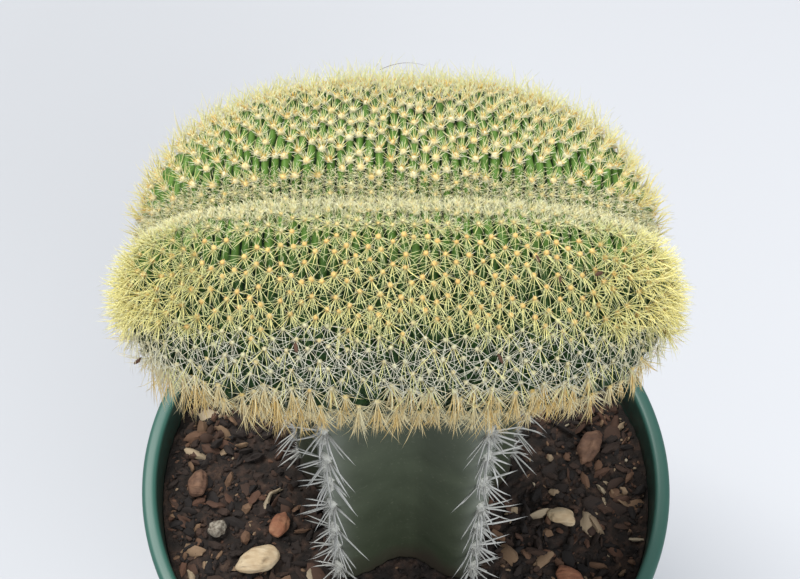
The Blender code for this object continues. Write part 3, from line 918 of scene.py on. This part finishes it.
wool = spine_finish("white_wool", (0.68, 0.66, 0.38), (0.78, 0.78, 0.58),
                    (0.72, 0.66, 0.26), (0.84, 0.84, 0.64), 0.7)
loose = sown_hairs(rng_wool.uniform(0.0, 1.0, LOOSE_HAIRS),
                   np.radians(rng_wool.normal(2.6, 4.9, LOOSE_HAIRS)), (0.7, 1.7), (0.42, 0.28))
spine_piece("growing_line_wool", wool, [loose], SHORT,
            replaces="growing_line_wool")
fuzz = sown_hairs(rng_wool.uniform(0.0, 1.0, FUZZ_HAIRS),
                  np.radians(rng_wool.normal(-4.5, 1.8, FUZZ_HAIRS)), (0.7, 1.6), (0.45, 0.30))
spine_piece("young_fuzz", wool, [fuzz], SHORT)
rows = [crest_fan(young, rng_wool, 13, 1.15 * MM, 0.050, (35, 85), 180, 0.3, sag=0.0, curl=0.3,
                  even=0.9),
        crest_fan(young, rng_wool, 6, 1.0 * MM, 0.060, (0, 35), 180, 0.75, sag=0.0, even=1.0)]
spine_piece("young_tufts", wool, rows, SHORT)

# %% [markdown]
# ## The rootstock
# The column is a different cactus: a plain dull green stem.  Its section is a wave of five
# rounded crests, slightly notched between areoles.  It flares a little toward the graft,
# and its foot goes down into the mix.

# %% Column
stock_low, stock_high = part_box("rootstock")
SOIL_LEVEL = 79 * MM
RIBS, FIRST_RIB = 5, math.pi / 2
RIB_RADIUS, VALLEY_RADIUS = 21.6 * MM, 13.6 * MM
STOCK_FLARE = 0.06
AREOLE_PITCH = 9.5 * MM


def stock_radius(angle, height):
    """Ribbed radius: a cosine wave with rounded crests, notched between the areoles."""
    wave = (0.5 + 0.5 * np.cos(RIBS * (angle - FIRST_RIB))) ** 1.5
    flare = 1 + STOCK_FLARE * (height - SOIL_LEVEL) / (GRAFT_LEVEL - SOIL_LEVEL)
    notch = 0.7 * MM * wave ** 4 * np.sin(math.pi * (height - SOIL_LEVEL) / AREOLE_PITCH) ** 2
    return (VALLEY_RADIUS + (RIB_RADIUS - VALLEY_RADIUS) * wave) * flare - notch


def around(radius, turn, height):
    """Points on rings: (radius * cos(turn), radius * sin(turn), height)."""
    x, y, z = np.broadcast_arrays(radius * np.cos(turn), radius * np.sin(turn), height)
    return np.stack([x, y, z], axis=-1)


def tube_piece(name, grid, material, values=None):
    """A closed piece from rings of points, one ring for each row; end rings get a point."""
    rows, columns = grid.shape[:2]
    ends = np.stack([grid[0].mean(axis=0), grid[-1].mean(axis=0)])
    points = np.concatenate((grid.reshape(-1, 3), ends))
    low = cap(0, rows * columns, columns)[:, [1, 0, 2]]
    high = cap((rows - 1) * columns, rows * columns + 1, columns)
    padded = {key: np.append(numbers.ravel(), [numbers.ravel()[0], numbers.ravel()[-1]])
              for key, numbers in (values or {}).items()}
    return mesh_piece(name, points, ring_quads(rows, columns),
                      np.concatenate((low, high)), material, values=padded)


stock_turn = np.linspace(0, TURN, 240, endpoint=False)[None, :]
climb = np.linspace(stock_low[2], stock_high[2], 150)[:, None]
shrink = 1 - 0.20 * smoothstep(1 - (climb - stock_low[2]) / (6 * MM))
shrink = shrink - 0.06 * smoothstep(1 - (stock_high[2] - climb) / (1.6 * MM)) ** 2
stock_r = stock_radius(stock_turn, climb) * shrink
stock_grid = around(stock_r, stock_turn, climb)
stock_wave = np.broadcast_to((0.5 + 0.5 * np.cos(RIBS * (stock_turn - FIRST_RIB))), stock_r.shape)

# %% [markdown]
# Its skin is a mottled grey green with a waxy bloom, paler on the rib crests, and corky
# brown just above the mix, where the stem is oldest.  That band is painted dark enough to
# stand for the shade where the stem meets the mix as well.

# %% Column finish and piece
stem = Paint("stock_skin", 0.55, Coat_Weight=0.05)
stem_place = stem.place()
stem_height = stem.axis(stem_place, 2)
mottle = stem.noise(120.0, 4.0, stem_place)
bloom = stem.noise(35.0, 2.0, stem_place)
green = stem.mix(mottle, (0.022, 0.032, 0.016), (0.066, 0.084, 0.046))
green = stem.mix((bloom - 0.35).clamped() * 0.9, green, (0.062, 0.072, 0.048))
specks = stem.noise(1500.0, 2.0, stem_place)
green = stem.mix((specks * 5.0 - 3.1).clamped() * 0.5, green, (0.16, 0.17, 0.12))
green = stem.mix((stem.reads("crest_line") ** 14.0) * 0.8, green, (0.20, 0.22, 0.18))
# cork and painted shade: corky brown just above the mix, painted dark for the shade there too
cork_and_shade = stem.mix(mottle, (0.022, 0.018, 0.012), (0.060, 0.048, 0.032))
near_soil = ((SOIL_LEVEL + 8 * MM - stem_height) * (1 / (9 * MM)) + (mottle - 0.5) * 2.0).clamped()
green = stem.mix(near_soil, green, cork_and_shade)
stem_material = stem.finish(green, 0.45 + 0.25 * mottle, mottle, 0.15 * MM, 0.6)
stock = tube_piece("rootstock_skin", stock_grid, stem_material,
                   values={"crest_line": stock_wave})
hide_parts("rootstock")

# %% [markdown]
# The column's areoles sit on the rib crests, about a centimetre apart: a grey felt pad
# drawn out along the rib, with stout grey-white spines that point outward and down.  A pad
# is four domes in a row, and its spines and short hairs are fans.

# %% Column areoles
rng_stock = draws(31)
levels = np.arange(SOIL_LEVEL + 4 * MM, GRAFT_LEVEL - 3 * MM, AREOLE_PITCH)
PAD_STEPS = np.array([-2.4, -1.2, 0.0, 1.2]) * MM
grey = spine_finish("grey_spines", (0.40, 0.39, 0.35), (0.56, 0.56, 0.53),
                    (0.38, 0.38, 0.35), (0.62, 0.62, 0.59), 0.6)
pad = Paint("grey_felt", 0.95, Sheen_Weight=0.3)
pad_tone = pad.noise(2200.0, 2.0)
pad_material = pad.finish(pad.mix(pad_tone, (0.34, 0.34, 0.30), (0.62, 0.62, 0.56)))


def rib_bed(heading, heights):
    """Foot, normal, down and side vectors of areoles on the rib crest at these heights."""
    out = np.array([math.cos(heading), math.sin(heading), 0.0])
    aside = np.array([-math.sin(heading), math.cos(heading), 0.0])
    foot = out * stock_radius(heading, heights)[:, None]
    foot[:, 2] = heights
    vectors = (out, np.array([0.0, 0.0, -1.0]), aside)
    return foot, *(np.tile(vector, (len(heights), 1)) for vector in vectors)


for number in range(RIBS):
    heading = FIRST_RIB + TURN * number / RIBS
    heights = levels + rng_stock.normal(0, 0.6 * MM, len(levels))
    bed = rib_bed(heading, heights)
    pad_heights = (heights[:, None] + PAD_STEPS).ravel()
    pad_bed = rib_bed(heading, pad_heights)
    pad_size = rng_stock.uniform(0.85, 1.25, len(pad_heights)) * MM
    dome_piece(f"stock_felt_{number + 1}", "grey_spines", pad_material, *pad_bed[:2], pad_size,
               pad_size * 0.7, np.full(len(pad_heights), 0.4))
    stout = partial(fan, bed, levels > 0, rng_stock)
    rows = [stout(8, 7.6 * MM, 0.23, (52, 80), 115, 0.35, sag=0.02, even=0.8, fuzz=0.25),
            stout(3, 5.5 * MM, 0.20, (5, 45), 90, 0.5, sag=0.02, even=0.9),
            fan(pad_bed, pad_heights > 0, rng_stock, 22, 1.7 * MM, 0.055, (10, 85), 180, 0.2,
                sag=0.0, curl=0.2, even=0.9)]
    spine_piece(f"stock_spines_{number + 1}", grey, rows,
                replaces=f"stock_spines_{number + 1}")

# %% [markdown]
# ## The pot
# A nursery pot is moulded from thin plastic: a rounded lip, a collar for stacking, a
# tapered wall and a raised floor with holes.  It is a turned shape, so its outline is
# carried round the axis, and six pins then cut the drain holes.

# %% Pot shell
pot_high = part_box("pot")[1]
POT_HEIGHT, RIM_RADIUS = pot_high[2], pot_high[0]
FOOT_RADIUS, WALL, POT_FLOOR = 35 * MM, 1.3 * MM, 3.8 * MM
LIP, COLLAR, FOOT_RING, RECESS = 2.9 * MM, 14 * MM, 3 * MM, 2.3 * MM
LEDGE, HUB = 0.6 * MM, 6 * MM


def inner_radius(height):
    """Inner radius of the tapered wall at a height."""
    return FOOT_RADIUS + (RIM_RADIUS - LIP - FOOT_RADIUS) * height / (POT_HEIGHT - COLLAR) - WALL


def rounded(outline, radius, steps=4):
    """The outline with each inner corner replaced by a short curve of steps points.

    The curve is quadratic: it starts on the edge that comes in, is drawn to the corner
    and ends on the edge that goes out, never past a third of either edge.
    """
    outline = np.asarray(outline, float)
    corner, before, after = outline[1:-1], outline[:-2], outline[2:]
    back, ahead = before - corner, after - corner
    reach_b = np.minimum(radius, np.linalg.norm(back, axis=1) / 3)[:, None]
    reach_a = np.minimum(radius, np.linalg.norm(ahead, axis=1) / 3)[:, None]
    start, end = corner + unit(back) * reach_b, corner + unit(ahead) * reach_a
    t = np.linspace(0, 1, steps)[None, :, None]
    curve = start[:, None] * (1 - t) ** 2 + 2 * corner[:, None] * t * (1 - t)
    curve = curve + end[:, None] * t ** 2
    return np.concatenate((outline[:1], curve.reshape(-1, 2), outline[-1:]))


collar = POT_HEIGHT - COLLAR
inside = RIM_RADIUS - LIP
outline = [
    (HUB, RECESS), (FOOT_RADIUS - FOOT_RING - LEDGE, RECESS),
    (FOOT_RADIUS - FOOT_RING, 0.0), (FOOT_RADIUS, 0.0),
    (inner_radius(collar / 2) + WALL, collar / 2), (inside, collar),
    (inside + 3 * LEDGE, collar + 2 * LEDGE), (inside + 3 * LEDGE, POT_HEIGHT - 5 * LEDGE),
    (RIM_RADIUS, POT_HEIGHT - 4 * LEDGE), (RIM_RADIUS, POT_HEIGHT - LEDGE),
    (RIM_RADIUS - LEDGE, POT_HEIGHT), (inside + LEDGE, POT_HEIGHT),
    (inside, POT_HEIGHT - LEDGE), (inside, collar + 3 * LEDGE),
    (inner_radius(collar), collar + LEDGE), (inner_radius(POT_FLOOR), POT_FLOOR),
    (HUB, POT_FLOOR),
]
pot_profile = rounded(outline, 0.8 * MM)
pot_turn = np.linspace(0, TURN, 192, endpoint=False)[None, :]
pot_grid = around(pot_profile[:, :1], pot_turn, pot_profile[:, 1:])

# %% [markdown]
# The plastic is a deep teal green; its inner wall is painted darker, as painted shade inside
# the pot.  Handling leaves it uneven: faint rings from the mould, a dusty film, and splashes
# of the mix inside.

# %% Pot finish and piece
plastic = Paint("green_plastic", 0.38, Specular_IOR_Level=0.5)
spot = plastic.place()
radial = (plastic.axis(spot, 0) ** 2.0 + plastic.axis(spot, 1) ** 2.0) ** 0.5
height = plastic.axis(spot, 2)
dust, drift = plastic.noise(55.0, 5.0, spot), plastic.noise(900.0, 2.0, spot)
mould = plastic.node("ShaderNodeTexNoise", {"noise_dimensions": "1D"}, W=height,
                     Scale=1400.0, Detail=1.0)
teal = plastic.mix(dust, (0.018, 0.078, 0.060), (0.034, 0.115, 0.088))
teal = plastic.mix((dust - 0.55).clamped() * 1.2, teal, (0.11, 0.155, 0.13))
wall_middle = height * ((inside - FOOT_RADIUS) / collar) + (FOOT_RADIUS - WALL / 2)
wall_middle = wall_middle.math("MINIMUM", inside + 0.4 * MM)
above_floor = ((height - (RECESS + POT_FLOOR) / 2) * (1 / (0.3 * MM))).clamped()
inner_wall = ((wall_middle - radial) * (1 / (0.4 * MM))).clamped() * above_floor
splash = ((SOIL_LEVEL + 6 * MM - height) * (1 / (5 * MM)) + (drift - 0.5) * 2.5).clamped()
# painted shade: the inner wall is darker, as the inside of the pot lies in shade
teal = plastic.mix(inner_wall * 0.8, teal, (0.010, 0.035, 0.026))
teal = plastic.mix(inner_wall * splash * 0.75, teal, (0.022, 0.015, 0.010))
pot_material = plastic.finish(teal, 0.30 + 0.3 * dust, mould * 0.6 + drift * 0.4, 0.05 * MM, 0.5)
pot = tube_piece("pot_shell", pot_grid, pot_material)

DRAIN_HOLES, DRAIN_RADIUS, DRAIN_CIRCLE = 6, 3.6 * MM, 22 * MM


def punch_holes(piece):
    """Cut six round drain holes through the floor, and keep the result as the mesh."""
    bm = bmesh.new()
    for number in range(DRAIN_HOLES):
        angle = TURN * (number + 0.5) / DRAIN_HOLES
        pin = bmesh.ops.create_cone(bm, cap_ends=True, segments=32, radius1=DRAIN_RADIUS,
                                    radius2=DRAIN_RADIUS, depth=8 * MM)["verts"]
        shift = (DRAIN_CIRCLE * math.cos(angle), DRAIN_CIRCLE * math.sin(angle), POT_FLOOR)
        bmesh.ops.translate(bm, verts=pin, vec=shift)
    pins = bpy.data.meshes.new("pins")
    bm.to_mesh(pins)
    bm.free()
    cutter = bpy.data.objects.new("pins", pins)
    bpy.context.collection.objects.link(cutter)
    cut = piece.modifiers.new("drain", "BOOLEAN")
    cut.operation, cut.object = "DIFFERENCE", cutter
    graph = bpy.context.evaluated_depsgraph_get()
    piece.data = bpy.data.meshes.new_from_object(piece.evaluated_get(graph))
    piece.modifiers.clear()
    bpy.data.objects.remove(cutter)


punch_holes(pot)
pot.data.set_sharp_from_angle(angle=math.radians(35))
print("pot after cutting:", len(pot.data.polygons), "faces")
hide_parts("pot")

# %% [markdown]
# ## The potting mix
# The mix is peat and fine bark.  Its body is one closed shape that fills the pot, with a
# lumpy top: a sum of waves for the heaps, and a finer random field for the grain.  The
# thousands of loose crumbs over it are what makes it look like soil.

# %% Mix body
WELL_DEPTH, GRAIN = 34 * MM, 0.28 * MM


def heaps(x, y):
    """Height of the mix: low heaps and hollows, a little higher at the wall."""
    waves = np.sin(x / (6.1 * MM) + 1.3) * np.cos(y / (7.3 * MM) - 0.4)
    waves = waves + 0.6 * np.sin((x - y) / (4.7 * MM))
    rise = 0.8 * MM * (np.hypot(x, y) / (50 * MM)) ** 4
    return SOIL_LEVEL + 0.7 * MM * waves + rise


def grain(x, y, rng_seed=41, waves=60):
    """A random field: many sine waves of 1 to 3 mm with random headings and phases."""
    rng = draws(rng_seed)
    heading, phase = rng.uniform(0, TURN, waves), rng.uniform(0, TURN, waves)
    pitch = rng.uniform(1.0, 3.2, waves) * MM / TURN
    total = np.zeros_like(x)
    for angle, shift, length in zip(heading, phase, pitch):
        total = total + np.sin((x * math.cos(angle) + y * math.sin(angle)) / length + shift)
    return total / math.sqrt(waves)


mix_turn = np.linspace(0, TURN, 360, endpoint=False)[None, :]
share = np.linspace(0, 1, 72)[:, None]
inner = stock_radius(mix_turn, SOIL_LEVEL) + 0.2 * MM
wall_r = inside - 0.15 * MM
top_r = inner + (wall_r - inner) * share
top = around(top_r, mix_turn, 0.0)
top[..., 2] = heaps(*top[..., :2].T).T + GRAIN * grain(*top[..., :2].T).T
lower = [(wall_r, collar + 4 * LEDGE), (inner_radius(collar) - 0.3 * MM, collar + 2 * LEDGE),
         (inner_radius(POT_FLOOR) - 0.2 * MM, POT_FLOOR + 0.2 * MM)]
layers = [around(inner, mix_turn, SOIL_LEVEL - WELL_DEPTH), top]
layers += [around(radius, mix_turn, height) for radius, height in lower]
mix_grid = np.concatenate(layers)

peat = Paint("potting_mix", 0.95)
clod, fibre = peat.noise(420.0, 5.0), peat.noise(1800.0, 3.0)
earth = peat.ramp(clod, [(0.30, (0.006, 0.004, 0.003)), (0.50, (0.016, 0.010, 0.007)),
                         (0.62, (0.038, 0.021, 0.014)), (0.75, (0.080, 0.050, 0.032))])
peat_material = peat.finish(earth, None, clod + fibre * 0.5, 0.6 * MM)
mix_piece = tube_piece("potting_mix", mix_grid, peat_material)
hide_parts("soil")

# %% [markdown]
# A crumb is a squashed, dented twenty-faced ball.  Each has its own size, stretch, turn
# and tint.  Most are dark bark; some are reddish, some tan, and a few are pale pumice.

# %% Crumbs
def read_and_free(bm):
    """Points and three-sided faces of an edit mesh, as arrays."""
    bm.verts.ensure_lookup_table()
    points = np.array([vert.co[:] for vert in bm.verts])
    faces = np.array([[vert.index for vert in face.verts] for face in bm.faces])
    bm.free()
    return points, faces


def ball_template(finer):
    """Points and faces of a ball of radius one: 20 faces, or 80 when finer."""
    bm = bmesh.new()
    bmesh.ops.create_icosphere(bm, subdivisions=2 if finer else 1, radius=1.0)
    return read_and_free(bm)


def turned(count, rng):
    """Random rotation matrices, from three random axes made square to each other."""
    first = unit(rng.normal(size=(count, 3)) * [1, 1, 0.35])
    second = unit(np.cross(first, rng.normal(size=(count, 3))))
    return np.stack([first, second, np.cross(first, second)], axis=1)


def crumb_piece(name, centre, size, stretch, tint, rng, finer=False):
    """One piece of dented, stretched and turned balls at the centres."""
    template, faces = ball_template(finer)
    count, corners = len(centre), len(template)
    dents = rng.uniform(0.72, 1.18, (count, corners, 1))
    shape = template[None] * dents * stretch[:, None] * size[:, None, None]
    points = centre[:, None] + np.einsum("nij,njk->nik", shape, turned(count, rng))
    tris = (faces[None] + corners * np.arange(count)[:, None, None]).reshape(-1, 3)
    cell = np.array([[0.0, 0.1], [STRIP_WIDTH, 0.1], [0.0, 0.9]])
    corner_map = np.tile(cell[None], (count * len(faces), 1, 1))
    corner_map[..., 0] += np.repeat(tint, len(faces))[:, None]
    return mesh_piece(name, points.reshape(-1, 3), [], tris, crumb_material, corner_map)


def on_mix(turn, radius, lift):
    """Places on top of the mix, raised by lift."""
    x, y = radius * np.cos(turn), radius * np.sin(turn)
    return np.stack([x, y, heaps(x, y) + lift], axis=1)


def stretched(rng, count, *ranges):
    """Random stretch along the three axes of each ball, from a range for each axis."""
    return np.stack([rng.uniform(*limits, count) for limits in ranges], axis=1)


crumb_paint = Paint("mix_crumbs", 0.9)
crumb_colour = crumb_paint.ramp(crumb_paint.strip()[0], [
    (0.0, (0.006, 0.004, 0.0035)), (0.35, (0.018, 0.011, 0.008)), (0.55, (0.045, 0.023, 0.014)),
    (0.70, (0.090, 0.042, 0.024)), (0.82, (0.18, 0.11, 0.062)), (0.92, (0.33, 0.26, 0.17)),
    (1.0, (0.46, 0.40, 0.30))])
crumb_material = crumb_paint.finish(crumb_colour)
rng_crumb = draws(51)
CRUMBS = 5200
crumb_turn = rng_crumb.uniform(0, TURN, CRUMBS)
from_wall = np.sqrt(rng_crumb.uniform(0, 1, CRUMBS))
near = stock_radius(crumb_turn, SOIL_LEVEL) + 0.3 * MM
crumb_r = near + (inside - 1.2 * MM - near) * from_wall
crumb_size = (0.35 + 0.9 * rng_crumb.power(0.35, CRUMBS) ** 2) * MM
crumb_place = on_mix(crumb_turn, crumb_r, crumb_size * rng_crumb.uniform(0.0, 0.7, CRUMBS))
stretch = stretched(rng_crumb, CRUMBS, (0.9, 1.9), (0.6, 1.1), (0.35, 0.9))
crumb_shade = np.clip(rng_crumb.beta(1.1, 2.0, CRUMBS), 0, 0.985)
crumbs = crumb_piece("mix_crumbs", crumb_place, crumb_size, stretch,
                     crumb_shade, rng_crumb)
crumbs.data.shade_flat()

# %% [markdown]
# Between the crumbs lie coarser bits of bark, flat and longer than wide, up to half a
# centimetre.  They keep clear of the single chips, which are solids of their own.

# %% Coarse bark bits
BITS, CHIP_ROOM = 420, 3.6 * MM
rng_bit = draws(52)
bit_turn = rng_bit.uniform(0, TURN, BITS)
bit_size = rng_bit.uniform(0.9, 1.9, BITS) * MM
bit_near = stock_radius(bit_turn, SOIL_LEVEL) + bit_size
bit_r = bit_near + (inside - 1.6 * bit_size - bit_near) * np.sqrt(rng_bit.uniform(0, 1, BITS))
bit_place = on_mix(bit_turn, bit_r, bit_size * rng_bit.uniform(0.05, 0.35, BITS))
chip_boxes = [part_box(node) for node in frame["nodes"] if "chip" in node or "pumice" in node]
chip_middle = np.array([np.add(*box) / 2 for box in chip_boxes])
to_chips = np.linalg.norm(bit_place[:, None, :2] - chip_middle[None, :, :2], axis=-1)
clear = to_chips.min(axis=1) > CHIP_ROOM
stretch = stretched(rng_bit, BITS, (1.1, 1.7), (0.6, 1.0), (0.25, 0.5))
bit_shade = np.clip(rng_bit.beta(2.2, 2.0, BITS), 0, 0.93)
bits = crumb_piece("bark_bits", bit_place[clear], bit_size[clear],
                   stretch[clear], bit_shade[clear], rng_bit, finer=True)
bits.data.set_sharp_from_angle(angle=math.radians(40))

# %% [markdown]
# A few brown flakes of the mix have been splashed up and hang among the spines, and one
# loose fibre lies over the back lobe.  The fibre is a very long, thin spine with many
# stations, so that its bend comes out as an arc.

# %% Flakes and a fibre caught in the spines
FLAKES = 7
rng_flake = draws(53)
caught = rng_flake.choice(np.flatnonzero((turn_deg > 18) & (turn_deg < 70)), FLAKES)
flake_place = foot_a[caught] + normal_a[caught] * 1.3 * MM + down_a[caught] * 0.8 * MM
stretch = np.tile([1.5, 0.55, 0.35], (FLAKES, 1))
flake_size = rng_flake.uniform(0.35, 0.6, FLAKES) * MM
crumb_piece("caught_flakes", flake_place, flake_size, stretch,
            np.full(FLAKES, 0.66), rng_flake, finer=True)
FIBRE_LENGTH, FIBRE_GIRTH, FIBRE_BEND = 9.5 * MM, 0.045 * MM, 5.0 * MM
held = np.argmin(np.abs(turn_deg + 72) + np.abs(foot_a[:, 0] + 3.5 * MM) / MM)
fibre_start = foot_a[held] + normal_a[held] * 2.6 * MM
fibre = (fibre_start[None], unit(np.array([[1.0, 0.0, 0.80]])), np.array([FIBRE_LENGTH]),
         np.array([FIBRE_GIRTH]), np.array([[0.0, 0.0, -FIBRE_BEND]]), np.array([0.68]))
spine_piece("stray_fibre", crumb_material, [fibre], tuple(np.linspace(0, 0.9, 10)))

# %% [markdown]
# ## Chips that lie loose on the mix
# The larger chips are solids of the frame.  Each keeps its place and size, and gets a
# weathered surface in place of flat facets.  Wood and bark show long fibres, so their
# noise is stretched; pumice is full of small pores.

# %% Chip finishes
def bark_finish(name, dark, light, edge):
    """Fibrous bark: noise stretched along one direction, with dark cracks."""
    paint = Paint(name, 0.85)
    drawn = paint.node("ShaderNodeMapping", {}, paint.place(), Rotation=(0.3, 0.2, 0.7),
                       Scale=(1.0, 5.0, 3.0))
    fibres, patches = paint.noise(300.0, 4.0, drawn), paint.noise(500.0, 2.0)
    colour = paint.mix(fibres, dark, light)
    colour = paint.mix((patches - 0.45) * 1.6, colour, edge)
    return paint.finish(colour, 0.75 + 0.2 * fibres, fibres, 0.5 * MM)


BARKS = {
    "pale_wood": ((0.30, 0.19, 0.10), (0.66, 0.53, 0.34), (0.72, 0.62, 0.44)),
    "red_bark": ((0.12, 0.045, 0.025), (0.34, 0.14, 0.07), (0.45, 0.25, 0.14)),
    "brown_bark": ((0.035, 0.018, 0.012), (0.17, 0.085, 0.05), (0.26, 0.15, 0.09)),
}
CHIP_FINISH = {name: bark_finish(name, *colours) for name, colours in BARKS.items()}
pumice = Paint("pumice", 0.95)
pores = pumice.noise(1500.0, 4.0)
grey_tone = pumice.noise(500.0, 3.0)
pumice_tone = pumice.mix(grey_tone, (0.26, 0.23, 0.18), (0.52, 0.48, 0.40))
pumice_tone = pumice.mix((pores * 3.0 - 1.1).clamped(), (0.13, 0.105, 0.08), pumice_tone)
CHIP_FINISH["pumice"] = pumice.finish(pumice_tone, None, pores, 0.5 * MM)


def weathered(points, seed, is_stone):
    """Points of a chip pushed in and out by a sum of random waves.

    Bark splits along its grain, so its waves are drawn out three times as long in the
    direction of the chip's greatest length; stone has the same waves every way.
    """
    rng = draws(seed)
    middle = points.mean(axis=0)
    axes = np.linalg.svd(points - middle, full_matrices=False)[2]
    local = (points - middle) @ axes.T * ([1, 1, 1] if is_stone else [0.3, 1, 1])
    heading = unit(rng.normal(size=(24, 3)))
    pitch = rng.uniform(0.9, 3.0, 24) * MM / TURN
    waves = np.sin(local @ (heading / pitch[:, None]).T + rng.uniform(0, TURN, 24)).sum(axis=1)
    return points + unit(points - middle) * (0.05 * MM * waves)[:, None]


def chip_piece(node, slot, seed):
    """A finer copy of a chip's solid: welded, cut up, rounded, then weathered."""
    bm = bmesh.new()
    bm.from_mesh(frame["nodes"][node].data)
    bmesh.ops.remove_doubles(bm, verts=bm.verts, dist=1e-6)
    bmesh.ops.subdivide_edges(bm, edges=bm.edges, cuts=3, use_grid_fill=True)
    for _ in range(3):
        bmesh.ops.smooth_vert(bm, verts=bm.verts, factor=0.5, use_axis_x=True, use_axis_y=True,
                              use_axis_z=True)
    bmesh.ops.triangulate(bm, faces=bm.faces)
    points, tris = read_and_free(bm)
    points = weathered(points, seed, slot == "pumice")
    piece = mesh_piece(f"{node}_surface", points, [], tris, CHIP_FINISH[slot])
    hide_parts(node)


SLOT_OF = {part["node"]: part["material_slot"] for part in frame["record"]["subparts"]}
chips = [node for node, slot in SLOT_OF.items() if slot in CHIP_FINISH]
for number, node in enumerate(chips):
    chip_piece(node, SLOT_OF[node], 60 + number)
print("chips weathered:", len(chips))
